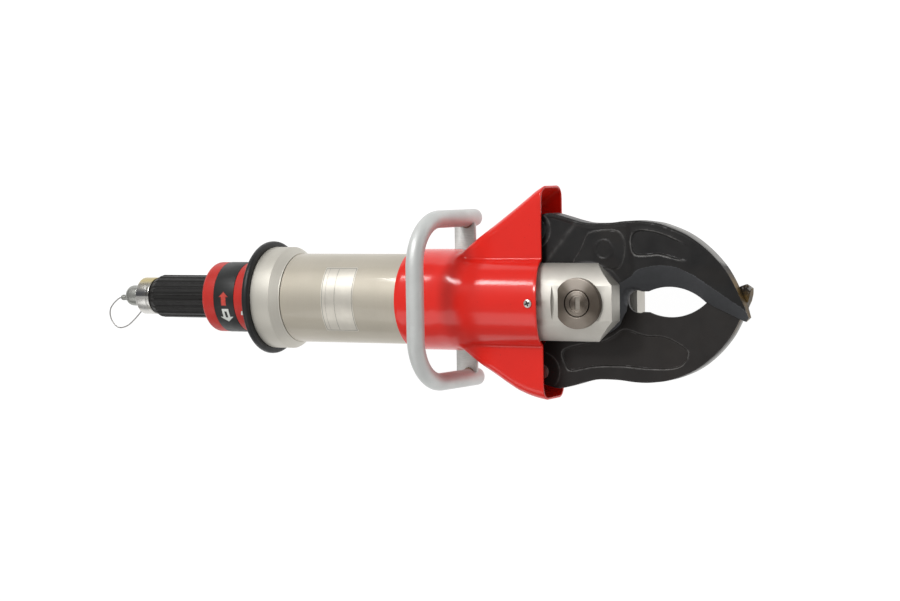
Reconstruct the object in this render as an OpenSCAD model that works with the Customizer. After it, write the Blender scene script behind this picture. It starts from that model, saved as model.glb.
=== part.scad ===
// Hydraulic rescue cutter. Millimetres. X runs along the tool towards the blade tips, Z is up towards the carrying handle.
// The origin is the middle of the pivot nut's underside, so Z = 0 is the floor and the Z axis is the pivot axis.

/* [Body] */
// Height of the tool axis above the nut's underside
axis_z = 64; // [63:1:70]
// Outside diameter of the pressure cylinder
cylinder_d = 100; // [99:0.5:101]
// Bore of the pressure cylinder
bore_d = 80; // [76:1:84]
// Piston rod diameter
rod_d = 36; // [32:1:38]
// Outside diameter of the rubber bumper ring
bumper_d = 128; // [122:1:128]

/* [Fork and pivot] */
// Diameter of the round bar that the fork is cut from
fork_d = 95; // [94:0.5:95]
// Pivot bolt shank diameter
bolt_d = 36; // [30:1:38]
// Pivot bolt head diameter
bolt_head_d = 54; // [48:1:56]
// Width across the flats of the pivot nut
nut_af = 55; // [50:1:60]

/* [Blades] */
// Thickness of one blade
blade_t = 22.3; // [21:0.1:22.4]
// Radius of the cutting arc of a blade
edge_r = 60; // [57:1:62]
// Radius of the round notch beside the pivot
notch_r = 12; // [9:0.5:13]
// Depth of the forged pockets
pocket_deep = 2; // [0.5:0.1:3]

/* [Shield] */
// Wall of the shield
shield_t = 2.6; // [2:0.1:2.7]
// Outside radius of the shield's collar
collar_r = 55.6; // [55.5:0.1:57]

/* [Handle and grip] */
// Outside diameter of the handle tube
handle_d = 19; // [16:0.5:20]
// Height of the handle bow above the tool axis
handle_h = 108; // [106:1:125]
// Lean of the handle towards the grip, degrees
handle_lean = 4; // [0:1:8]
// Outside diameter of the hand grip
grip_d = 49.4; // [48:0.2:50]
// Number of flutes around the hand grip
flutes = 20; // [12:1:24]
// Outside diameter of the control ring
control_d = 80; // [76:1:82]

/* [Hidden] */
$fn = 72;
e = 0.01;

// Colours of the finishes
c_steel = [0.74, 0.72, 0.68];
c_dark = [0.17, 0.16, 0.16];
c_red = [0.86, 0.16, 0.10];
c_alu = [0.76, 0.77, 0.76];
c_rubber = [0.12, 0.12, 0.13];
c_bronze = [0.66, 0.48, 0.28];

// Stations along the axis, measured from the pivot
x_front = 38;
x_slot = -201;
x_cyl_f = -206;
x_cyl_r = -366;
x_spigot = -236;
x_bush = -213.5;
x_house_r = -400.4;
x_ring_f = -409.5;
x_ring_r = -478.6;
x_grip_f = -479;
x_grip_r = -564;
x_coup_r = -583;

// Fork and stack
slot_h = 22.9;
flat_h = 43.8;
fork_r = fork_d / 2;
gap = 0.2;
head_t = 5;

// Linkage at rest: blade tail pins, crosshead pin
tail = [-65, 77];
xc = -128.8;
link_t = 8;
link_z = 11.35;
pin_r = 10;
tail_r = 8;
fit = 0.05;

// Handle
handle_x = -153;
// the welded bow sits a little off the middle
handle_side = 2;
leg_y = 87.5;
leg_low = 19;
bend_r = 50;

rod_r = rod_d / 2;
bore_r = bore_d / 2;
cyl_r = cylinder_d / 2;
bolt_r = bolt_d / 2;

// Blade outline: outer edge of the upper blade from the tail to the tip
outer = [[-72, 88], [-58, 92], [-44, 94.5], [-28, 91], [-14, 87], [0, 84], [14, 83.5], [28, 84], [42, 85.5], [56, 86], [69, 85], [82, 83], [96, 78.5], [110, 72.5], [123, 64.5], [137, 53], [150, 39], [158, 27], [164, 15.5], [168.5, 6], [172.5, -2]];
tip = [[176, -15], [171, -19.5], [165, -17.5], [158, -14], [148, -9.5], [135, -4]];
// Pocket in the outer face, and pocket in the inner face
pocket_a = [[50.5, 66], [51, 57], [53.5, 52], [58, 49.5], [70, 49.5], [82, 50.5], [93, 48], [106, 44.5], [118, 43], [118, 58], [105, 65], [95.5, 69], [84.5, 73], [73, 75.5], [61, 76.5], [54, 73.5]];
pocket_b = [[-40, 53], [-37.5, 69], [-30, 75.5], [-5, 71], [26, 69.5], [60, 71.5], [84, 71], [98, 67], [105, 57], [102, 48], [80, 37], [57, 35.5], [38, 30], [30, 30], [22, 35], [8, 42], [-12, 45]];

// Shield: outline of the wings
wing_up = [[-156, 42], [-147, 54], [-127, 70], [-112, 81], [-98, 91], [-84, 101], [-69, 112], [-60, 119], [-51, 124]];
wing_lo = [[-51, -108], [-62, -107], [-72, -104], [-84, -99], [-98, -90], [-112, -80], [-127, -70], [-147, -55], [-156, -42]];
x_bulge = -43.5;
bulge_r = 51;
bulge_up = 7;
bulge_top = bulge_r + bulge_up;
wing_h = 26;

// Tether route from the ferrule to its anchor
route = [[-617.2, -2.5, 0], [-620.5, -3.5, 0], [-625, -6.5, 0], [-630, -11, 0], [-633.5, -16, 0], [-634.5, -22, 0], [-633, -28, 0], [-629, -34, 0], [-623, -38, 0], [-616, -38, 0], [-608, -35, 0], [-600, -29, 0], [-594, -23.5, 0], [-590.5, -20, 0], [-588, -17.5, 0]];
wire_d = 1.6;

// ---- helpers
module lift() translate([0, 0, axis_z]) children();
// Cylinder along X from a to b
module bar(a, b, r) translate([a, 0, 0]) rotate([0, 90, 0]) cylinder(h = b - a, r = r);
// Ring along X
module tube(a, b, ro, ri) difference() { bar(a, b, ro); bar(a - 1, b + 1, ri); }
// Body of revolution about X from [x, radius] points
module turned(p) rotate([0, 90, 0]) rotate_extrude() polygon([for (q = p) [q[1], q[0]]]);
module slab(z0, z1) translate([0, 0, z0]) linear_extrude(z1 - z0) children();
module box(x0, x1, y0, y1, z0, z1) translate([x0, y0, z0]) cube([x1 - x0, y1 - y0, z1 - z0]);
module rod_z(z0, z1, r) translate([0, 0, z0]) cylinder(h = z1 - z0, r = r);
module hex(z0, z1, af) translate([0, 0, z0]) cylinder(h = z1 - z0, r = af / 2 / cos(30), $fn = 6);
// Smooth line through points
function cr(a, b, c, d, t) = 0.5 * (2 * b + (c - a) * t + (2 * a - 5 * b + 4 * c - d) * t * t + (3 * b - a - 3 * c + d) * t * t * t);
function curve(p, n) = [for (i = [0:len(p) - 2]) for (k = [0:n - 1])
  cr(p[max(i - 1, 0)], p[i], p[i + 1], p[min(i + 2, len(p) - 1)], k / n), p[len(p) - 1]];
function arc(cx, cy, r, a0, a1, n) = [for (i = [0:n]) let (a = a0 + (a1 - a0) * i / n) [cx + r * cos(a), cy + r * sin(a)]];
// Round tube through 3D points
function unit(v) = v / norm(v);
function way(p, i) = unit(p[min(i + 1, len(p) - 1)] - p[max(i - 1, 0)]);
function ring_pts(p, i, r, m, up) = let (w = way(p, i), u = unit(cross(up, w)), v = cross(w, u))
  [for (k = [0:m - 1]) p[i] + r * (cos(360 * k / m) * u + sin(360 * k / m) * v)];
module sweep(p, r, m, up = [0, 0, 1]) {
  n = len(p);
  pts = [for (i = [0:n - 1]) each ring_pts(p, i, r, m, up)];
  faces = concat([[for (k = [0:m - 1]) k]], [[for (k = [m - 1:-1:0]) (n - 1) * m + k]],
    [for (i = [0:n - 2]) for (k = [0:m - 1]) let (k2 = (k + 1) % m) [i * m + k2, i * m + k, (i + 1) * m + k, (i + 1) * m + k2]]);
  polyhedron(points = pts, faces = faces, convexity = 6);
}
// Helix about X
function coil(x0, x1, r, turns, n) = [for (i = [0:turns * n]) let (a = 360 * i / n) [x0 + (x1 - x0) * i / (turns * n), r * cos(a), r * sin(a)]];

// ---- cylinder and fixed parts
module cylinder_tube() color(c_steel) lift() difference() {
  bar(x_cyl_r, x_cyl_f, cyl_r);
  bar(x_cyl_r - 1, x_cyl_f + 1, bore_r);
}

module rear_housing() color(c_steel) lift() difference() {
  turned([[-352, 0], [-352, bore_r - fit], [x_cyl_r, bore_r - fit], [x_cyl_r, cyl_r + 0.6], [-367, cyl_r + 0.6],
    [-376.5, 57.5], [x_house_r, 57.5], [x_house_r, 38], [-408, 38], [-408, 0]]);
  bar(-410, -382, 27.05);
  bar(-390, -350, 6.05);
  // oil ways to the cylinder
  translate([0, 24, 0]) bar(-381, -350, 3);
  translate([0, 24, 0]) rotate([90, 0, 0]) translate([-378, 0, 0]) cylinder(h = 21, r = 2.5);
}

module bumper_ring() color(c_rubber) lift() turned(concat([[x_house_r, 38.2], [x_house_r, 57]],
  arc(x_house_r - 3, bumper_d / 2 - 3, 3, 0, 90, 5), arc(x_house_r - 5, bumper_d / 2 - 3, 3, 90, 180, 5), [[x_house_r - 8, 40], [x_house_r - 6.5, 38.2]]));

module fork() color(c_steel) lift() difference() {
  union() {
    bar(x_spigot, x_cyl_f + e, bore_r - fit);
    bar(x_cyl_f, -196, cyl_r - 0.4);
    bar(-197, x_front, fork_r);
  }
  box(x_slot, 60, -60, 60, -slot_h, slot_h);
  bar(x_spigot - 1, x_slot + 1, rod_r + 4);
  bar(x_bush, x_slot + 1, 22.7);
  for (s = [1, -1]) {
    // milled flat for the bolt
    box(-31, 60, -60, 60, min(s * flat_h, s * 60), max(s * flat_h, s * 60));
    // corner cut at the nose
    translate([14, s * 41.6, 0]) rotate([0, 0, -s * 43.5]) box(-10, 60, s > 0 ? 0 : -60, s > 0 ? 60 : 0, -60, 60);
    // shield screw
    translate([-52.5, 0, 0]) rod_z(s > 0 ? 30 : -60, s > 0 ? 60 : -30, 2.5);
    // bracket screws
    for (y = [-20, 20]) translate([-158, y, 0]) rod_z(s > 0 ? 30 : -60, s > 0 ? 60 : -30, 3);
  }
  rod_z(-60, 60, bolt_r + fit);
}

module rod_bush() color(c_bronze) lift() difference() {
  bar(x_spigot, x_bush, rod_r + 4);
  bar(x_spigot - 1, x_bush + 1, rod_r + fit);
  bar(-231, -225, rod_r + 2.5);
  bar(-218, x_bush + 1, rod_r + 2.5);
}

module rod_seal() color(c_rubber) lift() tube(-230.8, -225.2, rod_r + 2.5, rod_r + 0.06);
module rod_wiper() color(c_rubber) lift() tube(-217.9, x_bush, rod_r + 2.5, rod_r + 0.06);
module transfer_tube() color(c_steel) lift() tube(-382, -262, 6, 4);

// ---- piston and crosshead
module piston() color(c_bronze) lift() difference() {
  bar(-298.5, -268.5, bore_r - fit);
  bar(-300, -260, 11);
  bar(-300, -284.5, 24);
  difference() { bar(-288, -279, 60); bar(-289, -278, bore_r - 5); }
}
module piston_seal() color(c_rubber) lift() tube(-287.8, -279.2, bore_r - 0.06, bore_r - 5);
module piston_nut() color(c_steel) lift() translate([-297.5, 0, 0]) rotate([0, 90, 0]) difference() { hex(0, 13, 36); rod_z(-1, 14, 11); }
module piston_rod() color(c_steel) lift() difference() {
  union() { bar(-297, -268.5, 11); bar(-268.5, xc - 32, rod_r); bar(xc - 32 - e, xc - 17, 12); }
  bar(-300, -200, 6.06);
}
module crosshead() color(c_steel) lift() translate([xc, 0, 0]) difference() {
  union() {
    bar(-32, -19.9, 22.2);
    box(-20, 4, -18, 18, -22.2, 22.2);
    translate([3, 0, 0]) rod_z(-22.2, 22.2, 18);
  }
  bar(-33, -17, 12);
  // room for the pin to drift along X
  for (x = [-1.7, 3]) translate([x, 0, 0]) rod_z(-30, 30, pin_r + 0.4);
  box(-1.7, 3, -pin_r - 0.4, pin_r + 0.4, -30, 30);
  for (s = [1, -1]) box(-16.4, 40, -40, 40, s * link_z - link_t / 2 - 0.5, s * link_z + link_t / 2 + 0.5);
}
module crosshead_pin() color(c_steel) lift() translate([xc, 0, 0]) rod_z(-22, 22, pin_r);

// A link from the tail pin to the crosshead pin
module link(eye) {
  d = [xc - tail[0], -tail[1]];
  difference() {
    union() {
      translate(tail) circle(r = 13);
      translate([xc, 0]) circle(r = 14);
      translate(tail) rotate(atan2(d[1], d[0])) translate([0, -10]) square([norm(d), 20]);
    }
    translate(tail) circle(r = tail_r + fit);
    translate([xc, 0]) circle(r = eye);
  }
}
module link_upper() color(c_steel) lift() slab(link_z - link_t / 2, link_z + link_t / 2) link(pin_r);
module link_lower() color(c_steel) lift() rotate([180, 0, 0]) slab(link_z - link_t / 2, link_z + link_t / 2) link(pin_r + 0.5);

// ---- blades
// Outline from the tail to the tip, without the round eyes
module blade_plan() polygon(concat(curve(outer, 4), tip, [[128, 0], [60, -4], [36, 0], [-30, 0], [-38, 6], [-58, 42], [-78, 70]]));
module blade() {
  z1 = gap + blade_t;
  difference() {
    union() {
      slab(gap, z1) blade_plan();
      translate(tail) rod_z(gap, z1, 14.5);
      rod_z(gap, z1, 38);
    }
    // cutting arc, and the round notch with its mouth
    translate([86, 16 - edge_r]) rod_z(-5, 40, edge_r);
    translate([50, 0]) rod_z(-5, 40, notch_r);
    box(50, 62, -40, 11, -5, 40);
    rod_z(-5, 40, bolt_r + fit);
    translate(tail) rod_z(-5, 40, tail_r);
    // ground bevel behind the cutting arc
    translate([86, 16 - edge_r, gap + 2]) cylinder(h = blade_t + 1, r1 = edge_r, r2 = edge_r + 26.5);
    // ground bevel of the tip
    translate([128, 0, gap + 2]) rotate([0, 0, -25]) rotate([-53, 0, 0]) box(-6, 80, -60, 0, -1, 60);
    // thinner towards the tip
    translate([100, 0, z1]) rotate([0, 8.5, 0]) box(0, 100, -60, 90, 0, 30);
    // forged pockets
    slab(z1 - pocket_deep, z1 + 1) polygon(curve(concat(pocket_a, [pocket_a[0]]), 3));
    slab(gap - 1, gap + pocket_deep) polygon(curve(concat(pocket_b, [pocket_b[0]]), 3));
    // tail slot for the link, over its whole swing
    slab(link_z - link_t / 2 - 0.5, link_z + link_t / 2 + 0.5) translate(tail) {
      circle(r = 19);
      for (a = [184:12:244]) rotate(a) translate([0, -14.5]) square([120, 29]);
    }
  }
}
module blade_upper() color(c_dark) lift() blade();
module blade_lower() color(c_dark) lift() rotate([180, 0, 0]) blade();
module tail_pin() translate(tail) rod_z(gap + 0.2, gap + blade_t - 0.2, tail_r);
module tail_pin_upper() color(c_steel) lift() tail_pin();
module tail_pin_lower() color(c_steel) lift() rotate([180, 0, 0]) tail_pin();

// ---- pivot
module pivot_bolt() color(c_steel) lift() difference() {
  union() {
    difference() { rod_z(flat_h, flat_h + head_t, bolt_head_d / 2); box(-60, -0.41 * bolt_head_d, -60, 60, flat_h, 60); }
    rod_z(4.5 - axis_z, flat_h + e, bolt_r);
  }
  rod_z(flat_h + 1.6, 60, 14);
  rod_z(10, 60, 5);
}
module pivot_nut() color(c_steel) lift() difference() { rotate(30) hex(-axis_z, -flat_h, nut_af); rod_z(4 - axis_z, -flat_h + 1, bolt_r); }
module lock_screw() color(c_steel) lift() difference() {
  union() { rod_z(flat_h + 1.6, flat_h + head_t - 0.3, 13.6); rod_z(14, flat_h + 2, 5); }
  // round recess with a slot for the driver
  rod_z(flat_h + 3.4, 60, 8.6);
  box(-3, 3, -6.6, 6.6, flat_h + 2.3, 60);
}

// ---- shield
module wing(d) polygon(concat(
  [for (q = wing_up) [q[0] + (d > 0 ? d * 0.9 : 0), q[1] - d * 1.25]],
  d > 0 ? [[-30, wing_up[8][1] - d * 1.25], [-30, wing_lo[0][1] + d * 1.25]] : [],
  [for (q = wing_lo) [q[0] + (d > 0 ? d * 0.9 : 0), q[1] + d * 1.25]]));
module shield() color(c_red) lift() difference() {
  union() {
    bar(-216, -150, collar_r);
    for (s = [1, -1]) translate([0, 0, s * bulge_up]) bar(-151, x_bulge, bulge_r);
    slab(-wing_h, wing_h) wing(0);
  }
  bar(-220, -149, collar_r - shield_t);
  for (s = [1, -1]) translate([0, 0, s * bulge_up]) bar(-150, x_bulge + 20, bulge_r - shield_t);
  slab(shield_t - wing_h, wing_h - shield_t) wing(shield_t);
  // the mouth is cut back to the wings' front edge
  box(-51, -20, -150, 150, shield_t - wing_h, wing_h - shield_t);
  // ways out for the handle's bars
  box(-169.5, -141.5, -80, 80, -3, 3);
  translate([-52.5, 0, 0]) rod_z(-70, 70, 2.7);
}
module shield_screws() color(c_steel) lift() for (s = [0, 180]) rotate([s, 0, 0]) translate([-52.5, 0, 0]) difference() {
  union() { rod_z(32, bulge_top + 0.1, 2.5); rod_z(bulge_top, bulge_top + 2, 4.6); }
  for (a = [0, 90]) rotate(a) box(-3.2, 3.2, -0.6, 0.6, bulge_top + 0.6, 70);
}
module shield_spacers() color(c_rubber) lift() for (s = [0, 180]) rotate([s, 0, 0]) translate([-52.5, 0, 0]) difference() {
  rod_z(fork_r, bulge_top - shield_t - 0.5, 6);
  rod_z(40, 60, 2.7);
}

// ---- carrying handle
module in_handle() translate([handle_x, handle_side, 0]) rotate([0, -handle_lean, 0]) children();
module bow(r) {
  for (s = [1, -1]) {
    translate([0, s * leg_y, -leg_low]) cylinder(h = handle_h + leg_low - bend_r, r = r);
    translate([0, s * (leg_y - bend_r), handle_h - bend_r]) rotate([90, 0, s > 0 ? 90 : -90]) rotate_extrude(angle = 90) translate([bend_r, 0]) circle(r = r);
  }
  translate([0, leg_y - bend_r, handle_h]) rotate([90, 0, 0]) cylinder(h = 2 * (leg_y - bend_r), r = r);
}
module handle_tube() color(c_alu) lift() in_handle() difference() {
  bow(handle_d / 2);
  for (s = [1, -1]) translate([0, s * leg_y, -leg_low - 1]) cylinder(h = 13, r = handle_d / 2 - 3);
}
module handle_bracket() color(c_alu) lift() difference() {
  union() {
    bar(-176, -150, 52.2);
    box(-168, -143, handle_side - leg_y + 6, handle_side + leg_y - 6, -2, 2);
  }
  bar(-180, -136, fork_r + 0.05);
  in_handle() for (s = [1, -1]) translate([0, s * leg_y, -40]) cylinder(h = 80, r = handle_d / 2);
  for (y = [-20, 20]) translate([-158, y, 0]) { rod_z(-60, 60, 3.1); for (s = [1, -1]) rod_z(s > 0 ? 45 : -60, s > 0 ? 60 : -45, 4.7); }
}
module bracket_screws() color(c_steel) lift() for (y = [-20, 20]) for (s = [0, 180]) rotate([s, 0, 0]) translate([-158, y, 0]) difference() {
  union() { rod_z(30.5, 45.1, 3); rod_z(45, 46.6, 4.5); }
  hex(45.5, 60, 4);
}

// ---- control valve and grip
module windows(h) for (a = [-44, 136]) rotate([a, 0, 0]) translate([-440 - h, 0, 0]) rotate([0, 90, 0]) rotate([0, 0, 90]) rotate_extrude(angle = 88) translate([13, 0]) square([20, 2 * h]);
module valve_body() color(c_steel) lift() difference() {
  union() { bar(-478.8, -382, 26.95); bar(x_grip_r, -478.7, 17); }
  bar(-475, -383, 14);
  bar(-550, -470, 5);
  bar(x_grip_r - 1, -544, 12);
  windows(4.6);
  bar(-384, -380, 6.1);
}
module valve_rotor() color(c_bronze) lift() difference() {
  bar(-470, -404, 13.92);
  bar(-471, -403, 5);
  rotate([90, 0, 0]) translate([-440, 0, -40]) cylinder(h = 80, r = 4);
}
module ring_dogs() color(c_steel) lift() for (a = [0, 180]) rotate([a, 0, 0]) translate([-440, 8, 0]) rotate([-90, 0, 0]) cylinder(h = 26, r = 4);
module return_spring() color(c_steel) lift() sweep(coil(-427, -414, 30, 4, 16), 1.1, 6, [1, 0, 0]);
module control_ring() color(c_red) lift() difference() {
  turned(concat([[x_ring_f, 27.03], [x_ring_f, control_d / 2 - 1.5], [x_ring_f - 1.5, control_d / 2], [-433.5, control_d / 2], [-433.5, control_d / 2 - 2], [-460.5, control_d / 2 - 2], [-460.5, control_d / 2]],
    arc(x_ring_r + 6.5, control_d / 2 - 6.5, 6.5, 90, 180, 6), [[x_ring_r, 27.03]]));
  bar(-430, -411.5, 33);
  rotate([90, 0, 0]) translate([-440, 0, -34]) cylinder(h = 68, r = 4);
}
module control_band() color(c_rubber) lift() tube(-460.5, -433.5, control_d / 2 + 0.2, control_d / 2 - 2);
module grip_sleeve() color(c_rubber) lift() difference() {
  turned([[x_grip_f, 17], [x_grip_f, grip_d / 2], [x_grip_r + 9, grip_d / 2], [x_grip_r, grip_d / 2 - 4.5], [x_grip_r, 17]]);
  for (i = [0:flutes - 1]) rotate([360 * (i + 0.5) / flutes, 0, 0]) translate([0, 0, grip_d / 2 + 0.6]) bar(-558, -484, 2.2);
}

// ---- coupling, plug and tether
module coupling_body() color(c_steel) lift() difference() {
  turned([[-545, 0], [-545, 12], [x_grip_r, 12], [x_grip_r, 20.5], [x_grip_r - 1, 21.5], [x_coup_r + 1.5, 21.5], [x_coup_r, 20], [x_coup_r, 0]]);
  bar(x_coup_r - 1, -560, 9.05);
  bar(-561, -548, 6.5);
  bar(-549, -540, 4);
  translate([0, -17, 0]) bar(x_coup_r - 1, -574, 2);
}
module coupling_poppet() color(c_bronze) lift() union() { bar(-562, -559, 6); bar(-559 - e, -553, 3); }
module poppet_spring() color(c_steel) lift() sweep(coil(-558, -549.5, 4.8, 4, 12), 0.5, 6, [1, 0, 0]);
module dust_plug() color(c_dark) lift() difference() {
  turned(concat([[-563, 0], [-563, 8], [-564, 9], [-583.4, 9], [-583.4, 12], [-598, 12]], arc(-598, 3, 9, 90, 165, 6), [[-606.7, 0]]));
  difference() { bar(-572, -568, 20); bar(-573, -567, 7); }
}
module plug_seal() color(c_rubber) lift() tube(-571.9, -568.1, 9, 7);
module tether_ferrule() color(c_steel) lift() translate([0, -2.5, 0]) turned([[-606.7, 0], [-606.7, 2.8], [-608, 3.4], [-615, 3.4], [-616.5, 2.6], [-616.5, 0]]);
module tether_anchor() color(c_steel) lift() translate([0, -17, 0]) union() { bar(-583.05, -574, 2); bar(-587, -583, 3.4); }
module tether_wire() color(c_steel) lift() sweep(curve(route, 4), wire_d / 2, 8);

cylinder_tube();
rear_housing();
bumper_ring();
fork();
rod_bush();
rod_seal();
rod_wiper();
transfer_tube();
piston();
piston_seal();
piston_nut();
piston_rod();
crosshead();
crosshead_pin();
link_upper();
link_lower();
tail_pin_upper();
tail_pin_lower();
blade_upper();
blade_lower();
pivot_bolt();
pivot_nut();
lock_screw();
shield();
shield_screws();
shield_spacers();
handle_tube();
handle_bracket();
bracket_screws();
valve_body();
valve_rotor();
ring_dogs();
return_spring();
control_ring();
control_band();
grip_sleeve();
coupling_body();
coupling_poppet();
poppet_spring();
dust_plug();
plug_seal();
tether_ferrule();
tether_anchor();
tether_wire();
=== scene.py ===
import math
import bpy
import bmesh
import numpy as np
from mathutils import Vector, Matrix
from mathutils.geometry import delaunay_2d_cdt


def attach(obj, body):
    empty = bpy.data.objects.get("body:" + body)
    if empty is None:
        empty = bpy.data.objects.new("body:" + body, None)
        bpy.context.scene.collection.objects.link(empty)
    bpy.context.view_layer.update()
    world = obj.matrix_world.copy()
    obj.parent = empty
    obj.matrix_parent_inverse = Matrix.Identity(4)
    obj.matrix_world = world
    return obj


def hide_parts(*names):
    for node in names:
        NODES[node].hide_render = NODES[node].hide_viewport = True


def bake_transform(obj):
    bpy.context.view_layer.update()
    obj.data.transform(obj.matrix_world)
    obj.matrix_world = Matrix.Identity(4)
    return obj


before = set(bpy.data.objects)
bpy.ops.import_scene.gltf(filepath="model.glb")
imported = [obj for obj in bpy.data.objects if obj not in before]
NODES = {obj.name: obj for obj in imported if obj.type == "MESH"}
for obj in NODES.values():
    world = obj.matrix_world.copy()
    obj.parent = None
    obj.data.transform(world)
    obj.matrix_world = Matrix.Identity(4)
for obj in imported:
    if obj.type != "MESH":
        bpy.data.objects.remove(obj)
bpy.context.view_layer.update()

AXIS = 0.064
MM = 0.001
scene = bpy.context.scene

# ------------------------------------------------------------------ camera
# The view looks down on the tool, tilted towards the blade tips and a little to the side. A long lens keeps the perspective weak.
TILT, SIDE, ROLL, DIST = math.radians(28.0), math.radians(3.5), math.radians(0.72), 2.640
AIM = Vector((-0.176, -0.0013, AXIS))
back = Vector((math.sin(TILT), math.cos(TILT) * math.sin(SIDE), math.cos(TILT) * math.cos(SIDE)))
right0 = Vector((math.cos(TILT), -math.sin(TILT) * math.sin(SIDE), -math.sin(TILT) * math.cos(SIDE)))
up0 = Vector((0.0, math.cos(SIDE), -math.sin(SIDE)))
cam_r = right0 * math.cos(ROLL) + up0 * math.sin(ROLL)
cam_u = -right0 * math.sin(ROLL) + up0 * math.cos(ROLL)
cam_data = bpy.data.cameras.new("view")
cam_data.sensor_fit = "HORIZONTAL"
cam_data.sensor_width = 36.0
cam_data.lens = 96.0
cam_data.clip_start = 0.05
cam_data.clip_end = 50.0
cam = bpy.data.objects.new("view", cam_data)
scene.collection.objects.link(cam)
eye = AIM + back * DIST
cam.matrix_world = Matrix((
    (cam_r.x, cam_u.x, back.x, eye.x),
    (cam_r.y, cam_u.y, back.y, eye.y),
    (cam_r.z, cam_u.z, back.z, eye.z),
    (0, 0, 0, 1)))
scene.camera = cam


# ------------------------------------------------------------------ mesh helpers (millimetres about the tool axis)
def P(x, y, z):
    return Vector((x * MM, y * MM, z * MM + AXIS))


def make(name, verts, faces, body, mats, nodes=(), angle=32.0, row=False):
    """A mesh object in the row frame from points in mm about the tool axis (or metres where row is true)."""
    me = bpy.data.meshes.new(name)
    me.from_pydata([tuple(v) if row else tuple(P(*v)) for v in verts], [], faces)
    me.validate()
    o = bpy.data.objects.new(name, me)
    scene.collection.objects.link(o)
    tidy(o, angle)
    for m in (mats if isinstance(mats, (list, tuple)) else [mats]):
        me.materials.append(m)
    if body:
        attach(o, body)
    if nodes:
        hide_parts(*nodes)
    return o


def tidy(o, angle=32.0, merge=0.0):
    bm = bmesh.new()
    bm.from_mesh(o.data)
    if merge:
        bmesh.ops.remove_doubles(bm, verts=bm.verts, dist=merge)
    bmesh.ops.recalc_face_normals(bm, faces=bm.faces)
    for f in bm.faces:
        f.smooth = True
    bm.to_mesh(o.data)
    bm.free()
    o.data.set_sharp_from_angle(angle=math.radians(angle))


def mod(o, kind, **kw):
    m = o.modifiers.new(kind.lower(), kind)
    for k, v in kw.items():
        setattr(m, k, v)
    return m


def apply_mods(o, angle=32.0):
    """Turns the modifiers into plain mesh."""
    bpy.context.view_layer.update()
    dg = bpy.context.evaluated_depsgraph_get()
    me = bpy.data.meshes.new_from_object(o.evaluated_get(dg), depsgraph=dg)
    o.modifiers.clear()
    old = o.data
    o.data = me
    bpy.data.meshes.remove(old)
    tidy(o, angle)
    return o


def fillet(points, n=4):
    """Rounds the corners of a list of (x, r, radius) points."""
    out = []
    m = len(points)
    for i, p in enumerate(points):
        rad = p[2] if len(p) > 2 else 0.0
        b = Vector((p[0], p[1]))
        a = Vector(points[(i - 1) % m][:2])
        c = Vector(points[(i + 1) % m][:2])
        u, w = (a - b), (c - b)
        if rad <= 0 or u.length < 1e-6 or w.length < 1e-6:
            out.append((b.x, b.y))
            continue
        lu, lw = u.length, w.length
        u.normalize()
        w.normalize()
        half = 0.5 * math.acos(max(-1.0, min(1.0, u.dot(w))))
        if half > math.radians(88):
            out.append((b.x, b.y))
            continue
        d = min(rad / math.tan(half), 0.48 * lu, 0.48 * lw)
        r = d * math.tan(half)
        cen = b + (u + w).normalized() * (r / math.sin(half))
        s = b + u * d
        e = b + w * d
        a0 = math.atan2(s.y - cen.y, s.x - cen.x)
        a1 = math.atan2(e.y - cen.y, e.x - cen.x)
        da = (a1 - a0 + math.pi) % (2 * math.pi) - math.pi
        for k in range(n + 1):
            t = a0 + da * k / n
            out.append((cen.x + r * math.cos(t), cen.y + r * math.sin(t)))
    return out


def arc(cx, cy, r, a0, a1, n):
    return [(cx + r * math.cos(math.radians(a0 + (a1 - a0) * i / n)), cy + r * math.sin(math.radians(a0 + (a1 - a0) * i / n))) for i in range(n + 1)]


def lathe_data(prof, n=128, closed=True, shape=None, axis="x", at=(0.0, 0.0)):
    """Rings about X (or Z) from (x, r) points. shape(x, r, angle) may change the radius. Points with r = 0 become poles."""
    verts, rings, faces = [], [], []
    for x, r in prof:
        if r < 1e-6:
            rings.append([len(verts)])
            verts.append((x, 0.0, 0.0) if axis == "x" else (at[0], at[1], x))
            continue
        ring = []
        for k in range(n):
            a = 2 * math.pi * k / n
            q = shape(x, r, a) if shape else r
            ring.append(len(verts))
            if axis == "x":
                verts.append((x, q * math.sin(a), q * math.cos(a)))
            else:
                verts.append((at[0] + q * math.cos(a), at[1] + q * math.sin(a), x))
        rings.append(ring)
    pairs = [(i, i + 1) for i in range(len(rings) - 1)] + ([(len(rings) - 1, 0)] if closed else [])
    for i, j in pairs:
        A, B = rings[i], rings[j]
        if len(A) == 1 and len(B) == 1:
            continue
        for k in range(n):
            k2 = (k + 1) % n
            if len(A) == 1:
                faces.append((A[0], B[k2], B[k]))
            elif len(B) == 1:
                faces.append((A[k], A[k2], B[0]))
            else:
                faces.append((A[k], A[k2], B[k2], B[k]))
    return verts, faces


def lathe(name, prof, body, mats, nodes=(), n=128, closed=True, shape=None, axis="x", at=(0.0, 0.0), angle=32.0):
    v, f = lathe_data(prof, n, closed, shape, axis, at)
    return make(name, v, f, body, mats, nodes, angle)


def catmull(p, n):
    p = [Vector(q) for q in p]
    out = []
    for i in range(len(p) - 1):
        a, b, c, d = p[max(i - 1, 0)], p[i], p[i + 1], p[min(i + 2, len(p) - 1)]
        for k in range(n):
            t = k / n
            out.append(0.5 * (2 * b + (c - a) * t + (2 * a - 5 * b + 4 * c - d) * t * t + (3 * b - a - 3 * c + d) * t ** 3))
    out.append(p[-1])
    return out


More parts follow.
